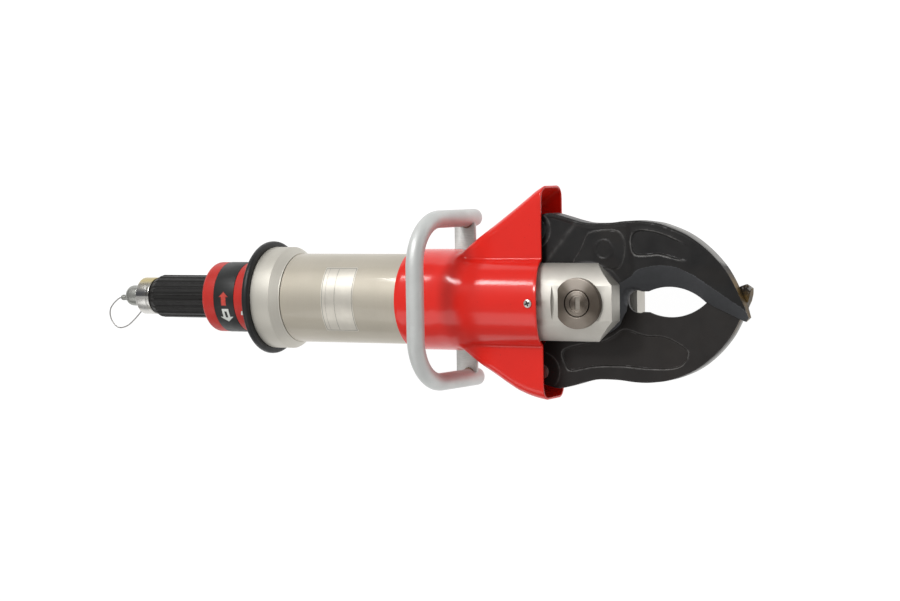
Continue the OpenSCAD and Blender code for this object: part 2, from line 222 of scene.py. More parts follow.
def sweep_data(path, radius, m=16, caps=True, up=Vector((0, 0, 1)), shape=None):
    """A tube through points. radius is a number or a list; shape(i, angle) scales the radius."""
    path = [Vector(q) for q in path]
    n = len(path)
    verts, faces = [], []
    u = None
    for i, q in enumerate(path):
        w = (path[min(i + 1, n - 1)] - path[max(i - 1, 0)]).normalized()
        if u is None:
            u = up.cross(w)
            if u.length < 1e-4:
                u = Vector((0, 1, 0)).cross(w)
        u = (u - w * u.dot(w)).normalized()
        v = w.cross(u)
        r = radius[i] if isinstance(radius, (list, tuple)) else radius
        for k in range(m):
            a = 2 * math.pi * k / m
            s = r * (shape(i, a) if shape else 1.0)
            verts.append(tuple(q + (u * math.cos(a) + v * math.sin(a)) * s))
    for i in range(n - 1):
        for k in range(m):
            k2 = (k + 1) % m
            faces.append((i * m + k, i * m + k2, (i + 1) * m + k2, (i + 1) * m + k))
    if caps:
        faces.append(tuple(range(m - 1, -1, -1)))
        faces.append(tuple((n - 1) * m + k for k in range(m)))
    return verts, faces


# ------------------------------------------------------------------ materials
class Net:
    """A small node writer around one Principled shader."""

    def __init__(self, name):
        self.mat = bpy.data.materials.new(name)
        self.mat.use_nodes = True
        self.nt = self.mat.node_tree
        self.nt.nodes.clear()
        out = self.nt.nodes.new("ShaderNodeOutputMaterial")
        self.b = self.nt.nodes.new("ShaderNodeBsdfPrincipled")
        self.nt.links.new(self.b.outputs[0], out.inputs[0])
        self._tc = None

    def put(self, sock, v):
        if hasattr(v, "is_output"):
            self.nt.links.new(v, sock)
        elif isinstance(v, (tuple, list)) and sock.type == "RGBA" and len(v) == 3:
            sock.default_value = (v[0], v[1], v[2], 1.0)
        else:
            sock.default_value = v

    def set(self, **kw):
        for k, v in kw.items():
            self.put(self.b.inputs[k.replace("_", " ")], v)

    def node(self, kind, **props):
        n = self.nt.nodes.new(kind)
        for k, v in props.items():
            setattr(n, k, v)
        return n

    def coords(self, scale=(1, 1, 1), move=(0, 0, 0)):
        if self._tc is None:
            self._tc = self.node("ShaderNodeTexCoord")
        m = self.node("ShaderNodeMapping")
        m.inputs["Scale"].default_value = scale
        m.inputs["Location"].default_value = move
        self.nt.links.new(self._tc.outputs["Object"], m.inputs["Vector"])
        return m.outputs[0]

    def noise(self, scale=(100, 100, 100), detail=4.0, rough=0.55, dist=0.0, move=(0, 0, 0)):
        t = self.node("ShaderNodeTexNoise")
        self.nt.links.new(self.coords(scale, move), t.inputs["Vector"])
        t.inputs["Scale"].default_value = 1.0
        t.inputs["Detail"].default_value = detail
        t.inputs["Roughness"].default_value = rough
        t.inputs["Distortion"].default_value = dist
        return t.outputs["Fac"]

    def voronoi(self, scale, feature="F1", rand=1.0):
        t = self.node("ShaderNodeTexVoronoi", feature=feature)
        self.nt.links.new(self.coords(scale), t.inputs["Vector"])
        t.inputs["Scale"].default_value = 1.0
        t.inputs["Randomness"].default_value = rand
        return t.outputs["Distance"]

    def range(self, v, a, b, c, d, smooth=False):
        n = self.node("ShaderNodeMapRange", interpolation_type="SMOOTHSTEP" if smooth else "LINEAR")
        self.put(n.inputs["Value"], v)
        for k, x in (("From Min", a), ("From Max", b), ("To Min", c), ("To Max", d)):
            n.inputs[k].default_value = x
        return n.outputs[0]

    def mix(self, f, a, b):
        n = self.node("ShaderNodeMix", data_type="RGBA")
        self.put(n.inputs[0], f)
        self.put(n.inputs[6], a)
        self.put(n.inputs[7], b)
        return n.outputs[2]

    def math(self, op, a, b=0.0, clamp=False):
        n = self.node("ShaderNodeMath", operation=op, use_clamp=clamp)
        self.put(n.inputs[0], a)
        self.put(n.inputs[1], b)
        return n.outputs[0]

    def split(self):
        n = self.node("ShaderNodeSeparateXYZ")
        self.nt.links.new(self.coords(), n.inputs[0])
        return n.outputs

    def radius(self, cx=0.0, cy=0.0):
        """Distance from a line along Z."""
        v = self.coords((1, 1, 0), (-cx, -cy, 0))
        n = self.node("ShaderNodeVectorMath", operation="LENGTH")
        self.nt.links.new(v, n.inputs[0])
        return n.outputs["Value"]

    def bump(self, h, strength=0.3, dist=0.0005, normal=None):
        n = self.node("ShaderNodeBump")
        n.inputs["Strength"].default_value = strength
        n.inputs["Distance"].default_value = dist
        self.nt.links.new(h, n.inputs["Height"])
        if normal is not None:
            self.nt.links.new(normal, n.inputs["Normal"])
        return n.outputs[0]

    def edges(self, radius=0.0008, lo=0.985, hi=0.80):
        """Near 1 along convex and concave edges."""
        bv = self.node("ShaderNodeBevel", samples=4)
        bv.inputs["Radius"].default_value = radius
        g = self.node("ShaderNodeNewGeometry")
        d = self.node("ShaderNodeVectorMath", operation="DOT_PRODUCT")
        self.nt.links.new(bv.outputs[0], d.inputs[0])
        self.nt.links.new(g.outputs["Normal"], d.inputs[1])
        return self.range(d.outputs["Value"], lo, hi, 0.0, 1.0)


def shade(c, k):
    return tuple(min(1.0, x * k) for x in c)


def surface(name, col, metallic, rough, var=0.10, rvar=0.06, big=26.0, fine=420.0, bump=0.12, bdist=0.0002,
            coat=0.0, coat_rough=0.05, wear=None, wear_amt=0.6, wear_rad=0.0008, spec=None, lines=None, line_amt=0.10, peel=None, spots=None):
    """The common finish: drifting tone, fine grain, uneven roughness, bump, optional brushed lines, coat and edge wear.
    lines is the scale of a stretched noise; peel adds a slow ripple; spots darkens small pits."""
    n = Net(name)
    a = n.noise((big,) * 3, 3.0)
    f = n.noise((fine,) * 3, 3.0, move=(3.1, 1.7, 0.4))
    tone = n.math("ADD", n.math("MULTIPLY", a, 0.7), n.math("MULTIPLY", f, 0.3))
    c = n.mix(n.range(tone, 0.34, 0.66, 0.0, 1.0), shade(col, 1 - var), shade(col, 1 + var))
    r = n.range(n.noise((big * 2.3,) * 3, 4.0, move=(7.0, 2.0, 5.0)), 0.3, 0.7, rough - rvar, rough + rvar)
    h = f
    nrm = None
    if lines:
        ln = n.noise(lines, 5.0, 0.62, move=(0.3, 0.7, 0.1))
        c = n.mix(n.range(ln, 0.32, 0.68, 0.0, 1.0), n.mix(line_amt, c, (0.0, 0.0, 0.0)), n.mix(line_amt, c, (1.0, 1.0, 1.0)))
        r = n.math("ADD", r, n.range(ln, 0.3, 0.7, -0.05, 0.05))
        nrm = n.bump(ln, min(1.0, bump * 1.4), bdist * 0.6)
    if peel:
        nrm = n.bump(n.noise((peel,) * 3, 2.0, 0.4), 0.22, 0.0003, nrm)
    if spots:
        sp = n.range(n.voronoi((spots,) * 3), 0.05, 0.18, 1.0, 0.0)
        sp = n.math("MULTIPLY", sp, n.range(n.noise((spots * 0.21,) * 3, 2.0), 0.5, 0.66, 0.0, 1.0))
        c = n.mix(n.math("MULTIPLY", sp, 0.5), c, shade(col, 0.35))
    if wear:
        e = n.edges(wear_rad)
        e = n.math("MULTIPLY", e, n.range(n.noise((310,) * 3, 4.0, move=(1, 5, 9)), 0.36, 0.62, 0.25, 1.0))
        e = n.math("MULTIPLY", e, wear_amt)
        c = n.mix(e, c, wear)
    nrm = n.bump(h, bump, bdist, nrm)
    n.set(Base_Color=c, Metallic=metallic, Roughness=r, Normal=nrm)
    if coat:
        n.set(Coat_Weight=coat, Coat_Roughness=coat_rough)
    if spec is not None:
        n.set(Specular_IOR_Level=spec)
    return n.mat


# turned metal: rings that run round the axis, so the noise is short along X
M_CYL = surface("cylinder_metal", (0.535, 0.495, 0.415), 1.0, 0.62, 0.04, 0.03, 14, 900, 0.10, 0.00012, coat=0.45, coat_rough=0.11, lines=(3600, 20, 20), line_amt=0.05, wear=(0.86, 0.84, 0.80), wear_amt=0.35)
M_HOUSE = surface("housing_metal", (0.60, 0.578, 0.52), 1.0, 0.60, 0.04, 0.03, 14, 900, 0.10, 0.00012, lines=(3600, 20, 20), line_amt=0.05, wear=(0.86, 0.84, 0.80), wear_amt=0.35)
M_FORK = surface("fork_metal", (0.62, 0.598, 0.548), 1.0, 0.60, 0.05, 0.05, 22, 1100, 0.12, 0.00012, lines=(240, 4200, 300), line_amt=0.05, wear=(0.92, 0.90, 0.86), wear_amt=0.55, wear_rad=0.0011)
M_HANDLE = surface("handle_metal", (0.60, 0.612, 0.60), 0.5, 0.52, 0.07, 0.06, 30, 1300, 0.16, 0.00014, wear=(0.80, 0.80, 0.79), wear_amt=0.25, spots=260)
M_BAR = surface("bar_metal", (0.54, 0.54, 0.52), 1.0, 0.50, 0.09, 0.06, 40, 1200, 0.3, 0.0002, lines=(130, 1500, 200), line_amt=0.14, wear=(0.8, 0.8, 0.79), wear_amt=0.4)
M_STEEL = surface("machined_steel", (0.46, 0.45, 0.43), 1.0, 0.42, 0.08, 0.06, 40, 1400, 0.14, 0.00012, lines=(900, 900, 4200), line_amt=0.07, wear=(0.74, 0.73, 0.71), wear_amt=0.4)
M_SCREW = surface("screw_metal", (0.66, 0.65, 0.62), 1.0, 0.34, 0.08, 0.06, 300, 2400, 0.14, 0.0001, wear=(0.85, 0.84, 0.82), wear_amt=0.5)
M_BRONZE = surface("bronze", (0.52, 0.34, 0.15), 1.0, 0.40, 0.10, 0.06, 36, 1200, 0.12, 0.00012, lines=(4200, 40, 40), line_amt=0.07, wear=(0.75, 0.56, 0.30), wear_amt=0.4)
M_PLUG = surface("plug_metal", (0.34, 0.345, 0.32), 1.0, 0.40, 0.12, 0.08, 90, 1500, 0.16, 0.00012, lines=(3800, 60, 60), line_amt=0.08, wear=(0.7, 0.69, 0.66), wear_amt=0.5)
M_WIRE = surface("wire_metal", (0.40, 0.39, 0.38), 1.0, 0.42, 0.06, 0.05, 120, 2600, 0.1, 0.00005, wear=(0.65, 0.63, 0.6), wear_amt=0.3, wear_rad=0.0002)
M_RUBBER = surface("rubber", (0.0070, 0.0075, 0.0080), 0.0, 0.42, 0.25, 0.06, 60, 1500, 0.22, 0.00016, spec=0.38, wear=(0.07, 0.07, 0.072), wear_amt=0.5, spots=420)
M_GRIP = surface("grip_plastic", (0.0060, 0.0055, 0.0050), 0.0, 0.44, 0.25, 0.06, 70, 2100, 0.22, 0.00012, spec=0.34, wear=(0.03, 0.028, 0.026), wear_amt=0.3, lines=(40, 900, 900), line_amt=0.003)
M_BAND = surface("band_plastic", (0.0105, 0.0115, 0.0115), 0.0, 0.44, 0.22, 0.06, 80, 1800, 0.18, 0.0001, spec=0.4, wear=(0.06, 0.06, 0.06), wear_amt=0.3)
M_RING = surface("ring_red", (0.49, 0.0185, 0.0115), 0.0, 0.42, 0.10, 0.06, 46, 1500, 0.16, 0.00012, spec=0.28, lines=(3600, 30, 30), line_amt=0.015, wear=(0.72, 0.16, 0.11), wear_amt=0.5, spots=300)
M_RED = surface("shield_red", (0.710, 0.0115, 0.0042), 0.0, 0.42, 0.05, 0.04, 16, 1700, 0.03, 0.0001, coat=0.8, coat_rough=0.16, spec=0.10, peel=70, wear=(0.82, 0.16, 0.10), wear_amt=0.35, wear_rad=0.0012, spots=230)
M_INK_RED = surface("print_red", (0.52, 0.050, 0.034), 0.0, 0.42, 0.14, 0.06, 300, 2400, 0.12, 0.00008, spots=900)
M_INK_PALE = surface("print_pale", (0.62, 0.64, 0.61), 0.0, 0.45, 0.07, 0.06, 300, 2400, 0.12, 0.00008, spots=900)
M_INK_DARK = surface("print_dark", (0.05, 0.048, 0.045), 0.0, 0.45, 0.16, 0.06, 300, 2400, 0.12, 0.00008)
M_PLATE = surface("plate_foil", (0.64, 0.61, 0.545), 0.9, 0.46, 0.05, 0.05, 90, 1900, 0.10, 0.0001, wear=(0.86, 0.85, 0.82), wear_amt=0.3)
M_SLOT = surface("slot_metal", (0.34, 0.31, 0.27), 1.0, 0.45, 0.08, 0.05, 300, 2400, 0.14, 0.0001)
# painted shade for the gaps and recesses of the screws
M_PAINTED_SHADE = surface("painted_shade_gap", (0.020, 0.018, 0.017), 0.0, 0.6, 0.2, 0.06, 300, 2400, 0.12, 0.00008)
M_INK_MID = surface("print_mid", (0.27, 0.255, 0.22), 0.0, 0.5, 0.12, 0.06, 300, 2400, 0.12, 0.00008)
M_WELD = surface("weld", (0.20, 0.155, 0.12), 0.85, 0.46, 0.35, 0.10, 260, 1900, 0.4, 0.0003, wear=(0.5, 0.46, 0.42), wear_amt=0.4)


def blade_black():
    """Blackened forged steel: a dark satin skin with a fine forge grain, small pits, and brighter rubbed edges."""
    n = Net("blade_black")
    a = n.noise((34, 34, 34), 5.0, 0.6)
    f = n.noise((700, 700, 700), 4.0, 0.6, move=(2, 4, 1))
    c = n.mix(n.range(a, 0.36, 0.66, 0.0, 1.0), (0.0105, 0.0102, 0.0105), (0.0165, 0.0155, 0.0152))
    brown = n.range(n.noise((21, 21, 21), 3.0, move=(9, 3, 2)), 0.52, 0.70, 0.0, 0.5)
    c = n.mix(brown, c, (0.021, 0.0172, 0.0148))
    # the face of the lower blade is rubbed by the upper one, so it is a little lighter
    c = n.mix(n.range(n.split()[2], AXIS + 0.001, AXIS - 0.001, 0.0, 0.5, True), c, (0.034, 0.0285, 0.0255))
    e = n.math("MULTIPLY", n.edges(0.0011), n.range(n.noise((240,) * 3, 4.0, move=(4, 4, 4)), 0.36, 0.66, 0.15, 0.75))
    c = n.mix(e, c, (0.17, 0.165, 0.16))
    # rubbed lines along the pockets and the panel, partly wear and partly painted highlight along their lips
    rub_and_highlight = n.node("ShaderNodeAttribute", attribute_name="rub_and_highlight").outputs["Fac"]
    rub_and_highlight = n.math("MULTIPLY", rub_and_highlight, n.range(n.noise((110,) * 3, 4.0, move=(6, 2, 8)), 0.34, 0.62, 0.15, 1.0))
    c = n.mix(rub_and_highlight, c, (0.15, 0.145, 0.14))
    r = n.range(n.noise((60, 60, 60), 4.0, move=(1, 8, 3)), 0.3, 0.7, 0.34, 0.47)
    pits = n.range(n.voronoi((330,) * 3), 0.03, 0.2, 0.0, 1.0)
    h = n.math("ADD", n.math("MULTIPLY", f, 0.6), n.math("MULTIPLY", pits, 0.25))
    n.set(Base_Color=c, Metallic=0.3, Roughness=r, Specular_IOR_Level=0.38, Normal=n.bump(h, 0.22, 0.00025))
    return n.mat


def blade_ground():
    """The ground bevel: grinding lines that follow the edge, blue-grey."""
    n = Net("blade_ground")
    rad = n.radius(0.086, -0.044)
    # lines round the centre of the cutting arc
    comb = n.node("ShaderNodeCombineXYZ")
    n.put(comb.inputs[0], n.math("MULTIPLY", rad, 2600.0))
    t = n.node("ShaderNodeTexNoise")
    n.nt.links.new(comb.outputs[0], t.inputs["Vector"])
    t.inputs["Scale"].default_value = 1.0
    t.inputs["Detail"].default_value = 4.0
    ln = t.outputs["Fac"]
    a = n.noise((40, 40, 40), 4.0)
    c = n.mix(n.range(a, 0.34, 0.66, 0.0, 1.0), (0.046, 0.047, 0.050), (0.059, 0.061, 0.066))
    c = n.mix(n.range(ln, 0.35, 0.68, 0.0, 0.35), c, (0.088, 0.090, 0.097))
    e = n.math("MULTIPLY", n.edges(0.0009), n.range(n.noise((260,) * 3, 4.0), 0.36, 0.66, 0.1, 0.7))
    c = n.mix(e, c, (0.24, 0.24, 0.24))
    n.set(Base_Color=c, Metallic=0.55, Roughness=n.range(ln, 0.3, 0.7, 0.36, 0.48), Normal=n.bump(ln, 0.18, 0.00015))
    return n.mat


def blade_tip():
    """The tip: a straw and brown tint that is a painted bronze reflection, with a rubbed bright spot."""
    n = Net("blade_tip")
    a = n.noise((110, 110, 110), 5.0, 0.6)
    # painted reflection: the straw and brown tint at the tip
    c = n.mix(n.range(a, 0.40, 0.62, 0.0, 1.0), (0.030, 0.027, 0.025), (0.155, 0.098, 0.032))
    w = n.range(n.noise((150, 150, 150), 3.0, move=(4, 1, 3)), 0.56, 0.64, 0.0, 0.8)
    c = n.mix(w, c, (0.36, 0.35, 0.33))
    n.set(Base_Color=c, Metallic=0.7, Roughness=n.range(a, 0.3, 0.7, 0.30, 0.46), Normal=n.bump(n.noise((500,) * 3, 4.0), 0.3, 0.0003))
    return n.mat


def bolt_face():
    """Turned brown steel: rings about the pivot axis, with a painted highlight pale at top and bottom and painted shade
    at the sides.
    """
    n = Net("bolt_metal")
    rad = n.radius()
    comb = n.node("ShaderNodeCombineXYZ")
    n.put(comb.inputs[0], n.math("MULTIPLY", rad, 2400.0))
    t = n.node("ShaderNodeTexNoise")
    n.nt.links.new(comb.outputs[0], t.inputs["Vector"])
    t.inputs["Scale"].default_value = 1.0
    t.inputs["Detail"].default_value = 5.0
    t.inputs["Roughness"].default_value = 0.6
    ln = t.outputs["Fac"]
    a = n.noise((70, 70, 70), 4.0)
    c = n.mix(n.range(a, 0.34, 0.66, 0.0, 1.0), (0.150, 0.124, 0.100), (0.205, 0.175, 0.145))
    c = n.mix(n.range(ln, 0.34, 0.68, 0.0, 0.35), c, (0.27, 0.235, 0.20))
    # painted reflection: pale towards ±Y, strongest at the top, and dark towards ±X, in place of the turned face's own
    # highlight
    q = n.split()
    xx, yy = n.math("MULTIPLY", q[0], q[0]), n.math("MULTIPLY", q[1], q[1])
    painted_sheen_fan = n.math("DIVIDE", n.math("SUBTRACT", yy, xx), n.math("ADD", n.math("ADD", xx, yy), 1e-6))
    top = n.range(q[1], -0.006, 0.010, 0.25, 0.85, True)
    c = n.mix(n.math("MULTIPLY", n.range(painted_sheen_fan, 0.0, 1.0, 0.0, 1.0, True), top), c, (0.56, 0.50, 0.44))
    c = n.mix(n.range(painted_sheen_fan, 0.15, -0.9, 0.0, 0.72, True), c, (0.062, 0.050, 0.040))
    e = n.math("MULTIPLY", n.edges(0.0008), n.range(n.noise((300,) * 3, 4.0), 0.36, 0.62, 0.15, 0.6))
    c = n.mix(e, c, (0.42, 0.385, 0.34))
    n.set(Base_Color=c, Metallic=1.0, Roughness=n.range(ln, 0.3, 0.7, 0.40, 0.52), Normal=n.bump(ln, 0.30, 0.00022))
    return n.mat


def zinc():
    """Bright zinc plate, passivated yellow on one side."""
    n = Net("coupling_metal")
    s = n.split()
    a = n.noise((60, 60, 60), 4.0)
    y = n.math("ADD", n.range(s[1], 0.0125, 0.0185, 0.0, 1.0), n.range(a, 0.3, 0.7, -0.2, 0.2), True)
    c = n.mix(n.range(a, 0.34, 0.66, 0.0, 1.0), (0.60, 0.59, 0.565), (0.68, 0.67, 0.64))
    # duller and bluish in a band that the light doesn't reach
    dull = n.math("MULTIPLY", n.range(s[1], 0.014, 0.0035, 0.0, 1.0, True), n.range(s[1], -0.0005, 0.0015, 0.0, 1.0, True))
    c = n.mix(n.math("MULTIPLY", dull, 0.93), c, (0.070, 0.074, 0.085))
    c = n.mix(n.math("MULTIPLY", y, 0.88), c, (0.50, 0.40, 0.15))
    ln = n.noise((5200, 30, 30), 4.0)
    c = n.mix(n.range(ln, 0.35, 0.65, 0.0, 0.12), c, (0.35, 0.34, 0.32))
    n.set(Base_Color=c, Metallic=1.0, Roughness=n.range(ln, 0.3, 0.7, 0.24, 0.34), Normal=n.bump(ln, 0.14, 0.0001))
    return n.mat


def blade_rim():
    """The blade's outer wall: dark steel with a painted pale sheen where the wall catches light, and a brown tint at
    the tip that is a painted bronze reflection.
    """
    n = Net("blade_rim")
    q = n.split()
    a = n.noise((60, 60, 60), 5.0, 0.6)
    drift = n.range(a, 0.3, 0.7, -0.004, 0.004)
    y = n.math("ADD", q[1], drift)
    # painted highlight: masks for the pale bands where the upper and the lower blade's walls catch light
    up = n.math("MULTIPLY", n.range(y, 0.037, 0.043, 0.0, 1.0, True), n.range(q[0], 0.060, 0.095, 0.0, 1.0, True))
    lo = n.math("MULTIPLY", n.range(y, -0.012, -0.020, 0.0, 1.0, True), n.range(q[0], 0.085, 0.115, 0.0, 1.0, True))
    # painted light and shade: the half towards the floor takes the pale band, and the half away from it stays dark
    up = n.math("MULTIPLY", up, n.range(q[2], AXIS + 0.020, AXIS + 0.008, 0.22, 1.0, True))
    lo = n.math("MULTIPLY", lo, n.range(q[2], AXIS - 0.003, AXIS - 0.012, 0.10, 1.0, True))
    light = n.math("MAXIMUM", up, lo)
    # painted reflection: the brown-gold tint at the tip stands in for a bronze reflection
    gold = n.math("MULTIPLY", n.range(q[0], 0.150, 0.163, 0.0, 1.0, True), n.range(a, 0.38, 0.60, 0.2, 1.0))
    c = n.mix(gold, (0.022, 0.019, 0.017), (0.165, 0.105, 0.036))
    ln = n.noise((90, 90, 2600), 4.0, 0.6)
    pale = n.mix(n.range(ln, 0.3, 0.7, 0.0, 1.0), (0.24, 0.235, 0.225), (0.36, 0.35, 0.335))
    c = n.mix(light, c, pale)
    e = n.math("MULTIPLY", n.edges(0.0007), n.range(n.noise((240,) * 3, 4.0), 0.36, 0.62, 0.2, 0.8))
    c = n.mix(e, c, (0.42, 0.41, 0.39))
    n.set(Base_Color=c, Metallic=0.75, Roughness=n.range(a, 0.3, 0.7, 0.40, 0.52), Normal=n.bump(ln, 0.15, 0.00015))
    return n.mat


M_BLADE, M_GROUND, M_TIP, M_BOLT, M_ZINC, M_RIM = blade_black(), blade_ground(), blade_tip(), bolt_face(), zinc(), blade_rim()

# ------------------------------------------------------------------ tether: stranded wire from the plug's ferrule to the coupling
ROUTE = [(-616.3, -2.4, 0), (-618.2, -2.7, 0), (-620.5, -3.5, 0), (-625, -6.5, 0), (-630, -11, 0), (-633.5, -16, 0), (-634.5, -22, 0), (-633, -28, 0), (-629, -34, 0),
         (-623, -38, 0), (-616, -38, 0), (-608, -35, 0), (-600, -29, 0), (-594, -23.5, 0), (-590.5, -20, 0), (-588, -17.6, 0), (-586.7, -16.9, 0)]
line = catmull(ROUTE, 10)
tv, tf = sweep_data(line, 0.8, 24, True, Vector((0, 0, 1)), lambda i, a: 0.97 + 0.06 * abs(math.cos(3 * a + i * 0.30)))
tether = make("tether_strands", tv, tf, None, M_WIRE, ("tether_wire",), 60)
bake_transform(tether)

# ------------------------------------------------------------------ cylinder, housing, bumper
lathe("cylinder_skin", fillet([(-365.5, 40), (-365.5, 50, 0.5), (-207.6, 50, 0.9), (-206, 49.0, 0.4), (-206, 40, 0.3)], 4),
      "frame_body", M_CYL, ("cylinder_tube",), 160)
lathe("rear_cap", [(-352, 6.1), (-352, 39.9), (-366.1, 39.9)] + fillet([(-366.1, 48.5), (-366.1, 50.6, 0.4), (-367.2, 50.9, 0.3), (-376.6, 57.5, 0.8), (-400.4, 57.5, 0.8), (-400.4, 38, 0.3)], 4)[1:]
      + fillet([(-400.4, 38), (-408, 38, 0.8), (-408, 27.1, 0.3), (-382.1, 27.1), (-382.1, 6.1)], 3)[1:],
      "frame_body", M_HOUSE, ("rear_housing",), 160)


def bumper_prof():
    p = [(-400.45, 38.3), (-400.45, 57.6)]
    p += [(-400.45, 60.6)] + arc(-403.5, 60.9, 3.05, 0, 78, 8)
    # parting line of the mould
    p += [(-403.95, 63.94), (-404.2, 64.0), (-404.6, 64.0), (-404.85, 63.94)]
    p += arc(-405.3, 60.9, 3.05, 102, 180, 8) + [(-408.35, 44)] + arc(-406.3, 40.4, 2.05, 180, 262, 5)
    return p


lathe("bumper", bumper_prof(), "frame_body", M_RUBBER, ("bumper_ring",), 160)

# ------------------------------------------------------------------ control ring, band and its two arrows
lathe("control_shell", fillet([(-409.6, 27.1), (-409.6, 40, 1.4), (-433.5, 40, 0.35), (-433.7, 38.2), (-460.6, 38.2), (-460.8, 40, 0.35), (-478.6, 40, 6.5), (-478.6, 27.1, 0.8)], 7),
      "control", M_RING, ("control_ring",), 144)
lathe("control_sleeve", fillet([(-433.8, 38.25), (-433.8, 40.2, 0.3), (-460.5, 40.2, 0.3), (-460.5, 38.25)], 3), "control", M_BAND, ("control_band",), 144)


def wrap(name, outline, holes, R, thick, body, mat, step=1.0):
    """A thin patch laid on the cylinder of radius R: outline points are (x, arc length from the top, towards +Y) in mm."""
    loops = [outline] + list(holes)
    verts, edges = [], []
    for lp in loops:
        dense = []
        for i, a in enumerate(lp):
            b = lp[(i + 1) % len(lp)]
            k = max(1, int(math.hypot(b[0] - a[0], b[1] - a[1]) / step))
            dense += [(a[0] + (b[0] - a[0]) * t / k, a[1] + (b[1] - a[1]) * t / k) for t in range(k)]
        s = len(verts)
        verts += dense
        edges += [(s + i, s + (i + 1) % len(dense)) for i in range(len(dense))]
    x0, x1 = min(p[0] for p in outline), max(p[0] for p in outline)
    y0, y1 = min(p[1] for p in outline), max(p[1] for p in outline)
    for i in range(1, int((x1 - x0) / step)):
        for j in range(1, int((y1 - y0) / step)):
            q = (x0 + i * step + 0.13, y0 + j * step + 0.17)
            if min(math.hypot(q[0] - v[0], q[1] - v[1]) for v in verts[:len(edges)]) > 0.45 * step:
                verts.append(q)
    res = delaunay_2d_cdt([Vector(v) for v in verts], edges, [], 0, 1e-5)
    V = [tuple(v) for v in res[0]]
    tris = []
    for t in res[2]:
        cx, cy = sum(V[i][0] for i in t) / 3, sum(V[i][1] for i in t) / 3
        if inside(outline, cx, cy) and not any(inside(h, cx, cy) for h in holes):
            tris.append(tuple(t))
    return shell(name, V, tris, lambda x, s: (x, (R + thick) * math.sin(s / R), (R + thick) * math.cos(s / R)),
                 lambda x, s: (x, (R - 0.05) * math.sin(s / R), (R - 0.05) * math.cos(s / R)), body, mat)


def inside(poly, x, y):
    c = False
    n = len(poly)
    for i in range(n):
        x1, y1 = poly[i]
        x2, y2 = poly[(i + 1) % n]
        if (y1 > y) != (y2 > y) and x < (x2 - x1) * (y - y1) / (y2 - y1) + x1:
            c = not c
    return c


def shell(name, V, tris, top, bot, body, mat, nodes=(), angle=32.0, matidx=None):
    """Closes a flat triangulation into a solid between two height maps."""
    used = sorted({i for t in tris for i in t})
    at = {v: k for k, v in enumerate(used)}
    n = len(used)
    verts = [top(*V[i]) for i in used] + [bot(*V[i]) for i in used]
    faces, count = [], {}
    for t in tris:
        a, b, c = (at[i] for i in t)
        faces.append((a, b, c))
        for e in ((a, b), (b, c), (c, a)):
            count[e] = 1
    for t in tris:
        a, b, c = (at[i] for i in t)
        faces.append((n + a, n + c, n + b))
    for (a, b) in list(count):
        if (b, a) not in count:
            faces.append((b, a, n + a, n + b))
    return make(name, verts, faces, body, mat, nodes, angle)


BAND_X, BAND_S = -446.2, 1.6
WIDE = 1.4
up_arrow = [(-6.3, 0.2), (0, 6.4), (6.3, 0.2), (3.3, 0.2), (3.3, -9.8), (-3.3, -9.8), (-3.3, 0.2)]
wrap("arrow_up", [(BAND_X - 0.9 + a, BAND_S + b) for a, b in up_arrow], [], 40.2, 0.10, "control", M_INK_RED, 1.2)
rim_in = [(-4.9, 0.8), (0, 5.6), (4.9, 0.8), (2.7, 0.8), (2.7, -9.2), (-2.7, -9.2), (-2.7, 0.8)]
wrap("arrow_up_line", [(BAND_X - 0.9 + a, BAND_S + b) for a, b in up_arrow], [[(BAND_X - 0.9 + a, BAND_S + b) for a, b in rim_in]], 40.3, 0.05, "control", surface("print_rose", (0.30, 0.030, 0.022), 0.0, 0.42, 0.14, 0.06, 300, 2400, 0.12, 0.00008, spots=900), 1.2)
down = [(-3.2, -13.6), (3.2, -13.6), (3.2, -23.6), (6.0, -23.6), (0, -30.6), (-6.0, -23.6), (-3.2, -23.6)]
hollow = [(-1.1, -16.6), (1.1, -16.6), (1.1, -24.6), (-1.1, -24.6)]
wrap("arrow_down", [(BAND_X + a * WIDE, BAND_S + b) for a, b in down], [[(BAND_X + a * WIDE, BAND_S + b) for a, b in hollow]], 40.2, 0.10, "control", M_INK_PALE, 1.2)

# short index line on the ring's front end
wrap("index_line", [(-426.4, -19.4), (-424.0, -19.4), (-422.4, -14.4), (-424.8, -14.4)], [], 40.0, 0.14, "control", M_INK_PALE, 1.2)

# ------------------------------------------------------------------ blank plate on the cylinder
PL_X0, PL_X1, PL_S0, PL_S1 = -312.0, -271.0, -38.0, 40.0


def rounded_rect(x0, x1, y0, y1, r, n=4):
    out = []
    for cx, cy, a in ((x1 - r, y1 - r, 0), (x0 + r, y1 - r, 90), (x0 + r, y0 + r, 180), (x1 - r, y0 + r, 270)):
        out += [(cx + r * math.cos(math.radians(a + 90 * k / n)), cy + r * math.sin(math.radians(a + 90 * k / n))) for k in range(n + 1)]
    return out


wrap("plate", rounded_rect(PL_X0, PL_X1, PL_S0, PL_S1, 1.5), [], 50.0, 0.25, "frame_body", M_PLATE, 2.2)
wrap("plate_frame", rounded_rect(PL_X0 + 1.0, PL_X1 - 1.0, PL_S0 + 1.0, PL_S1 - 1.0, 1.0),
     [rounded_rect(PL_X0 + 1.7, PL_X1 - 1.7, PL_S0 + 1.7, PL_S1 - 1.7, 0.8)], 50.2, 0.12, "frame_body", M_INK_MID, 1.6)
for k, (xx, w) in enumerate(((-294.5, 0.5), (-306.0, 0.3))):
    wrap("plate_rule_%d" % k, [(xx - w / 2, PL_S0 + 2.0), (xx + w / 2, PL_S0 + 2.0), (xx + w / 2, PL_S1 - 2.0), (xx - w / 2, PL_S1 - 2.0)], [], 50.2, 0.12,
         "frame_body", M_INK_MID, 1.6)

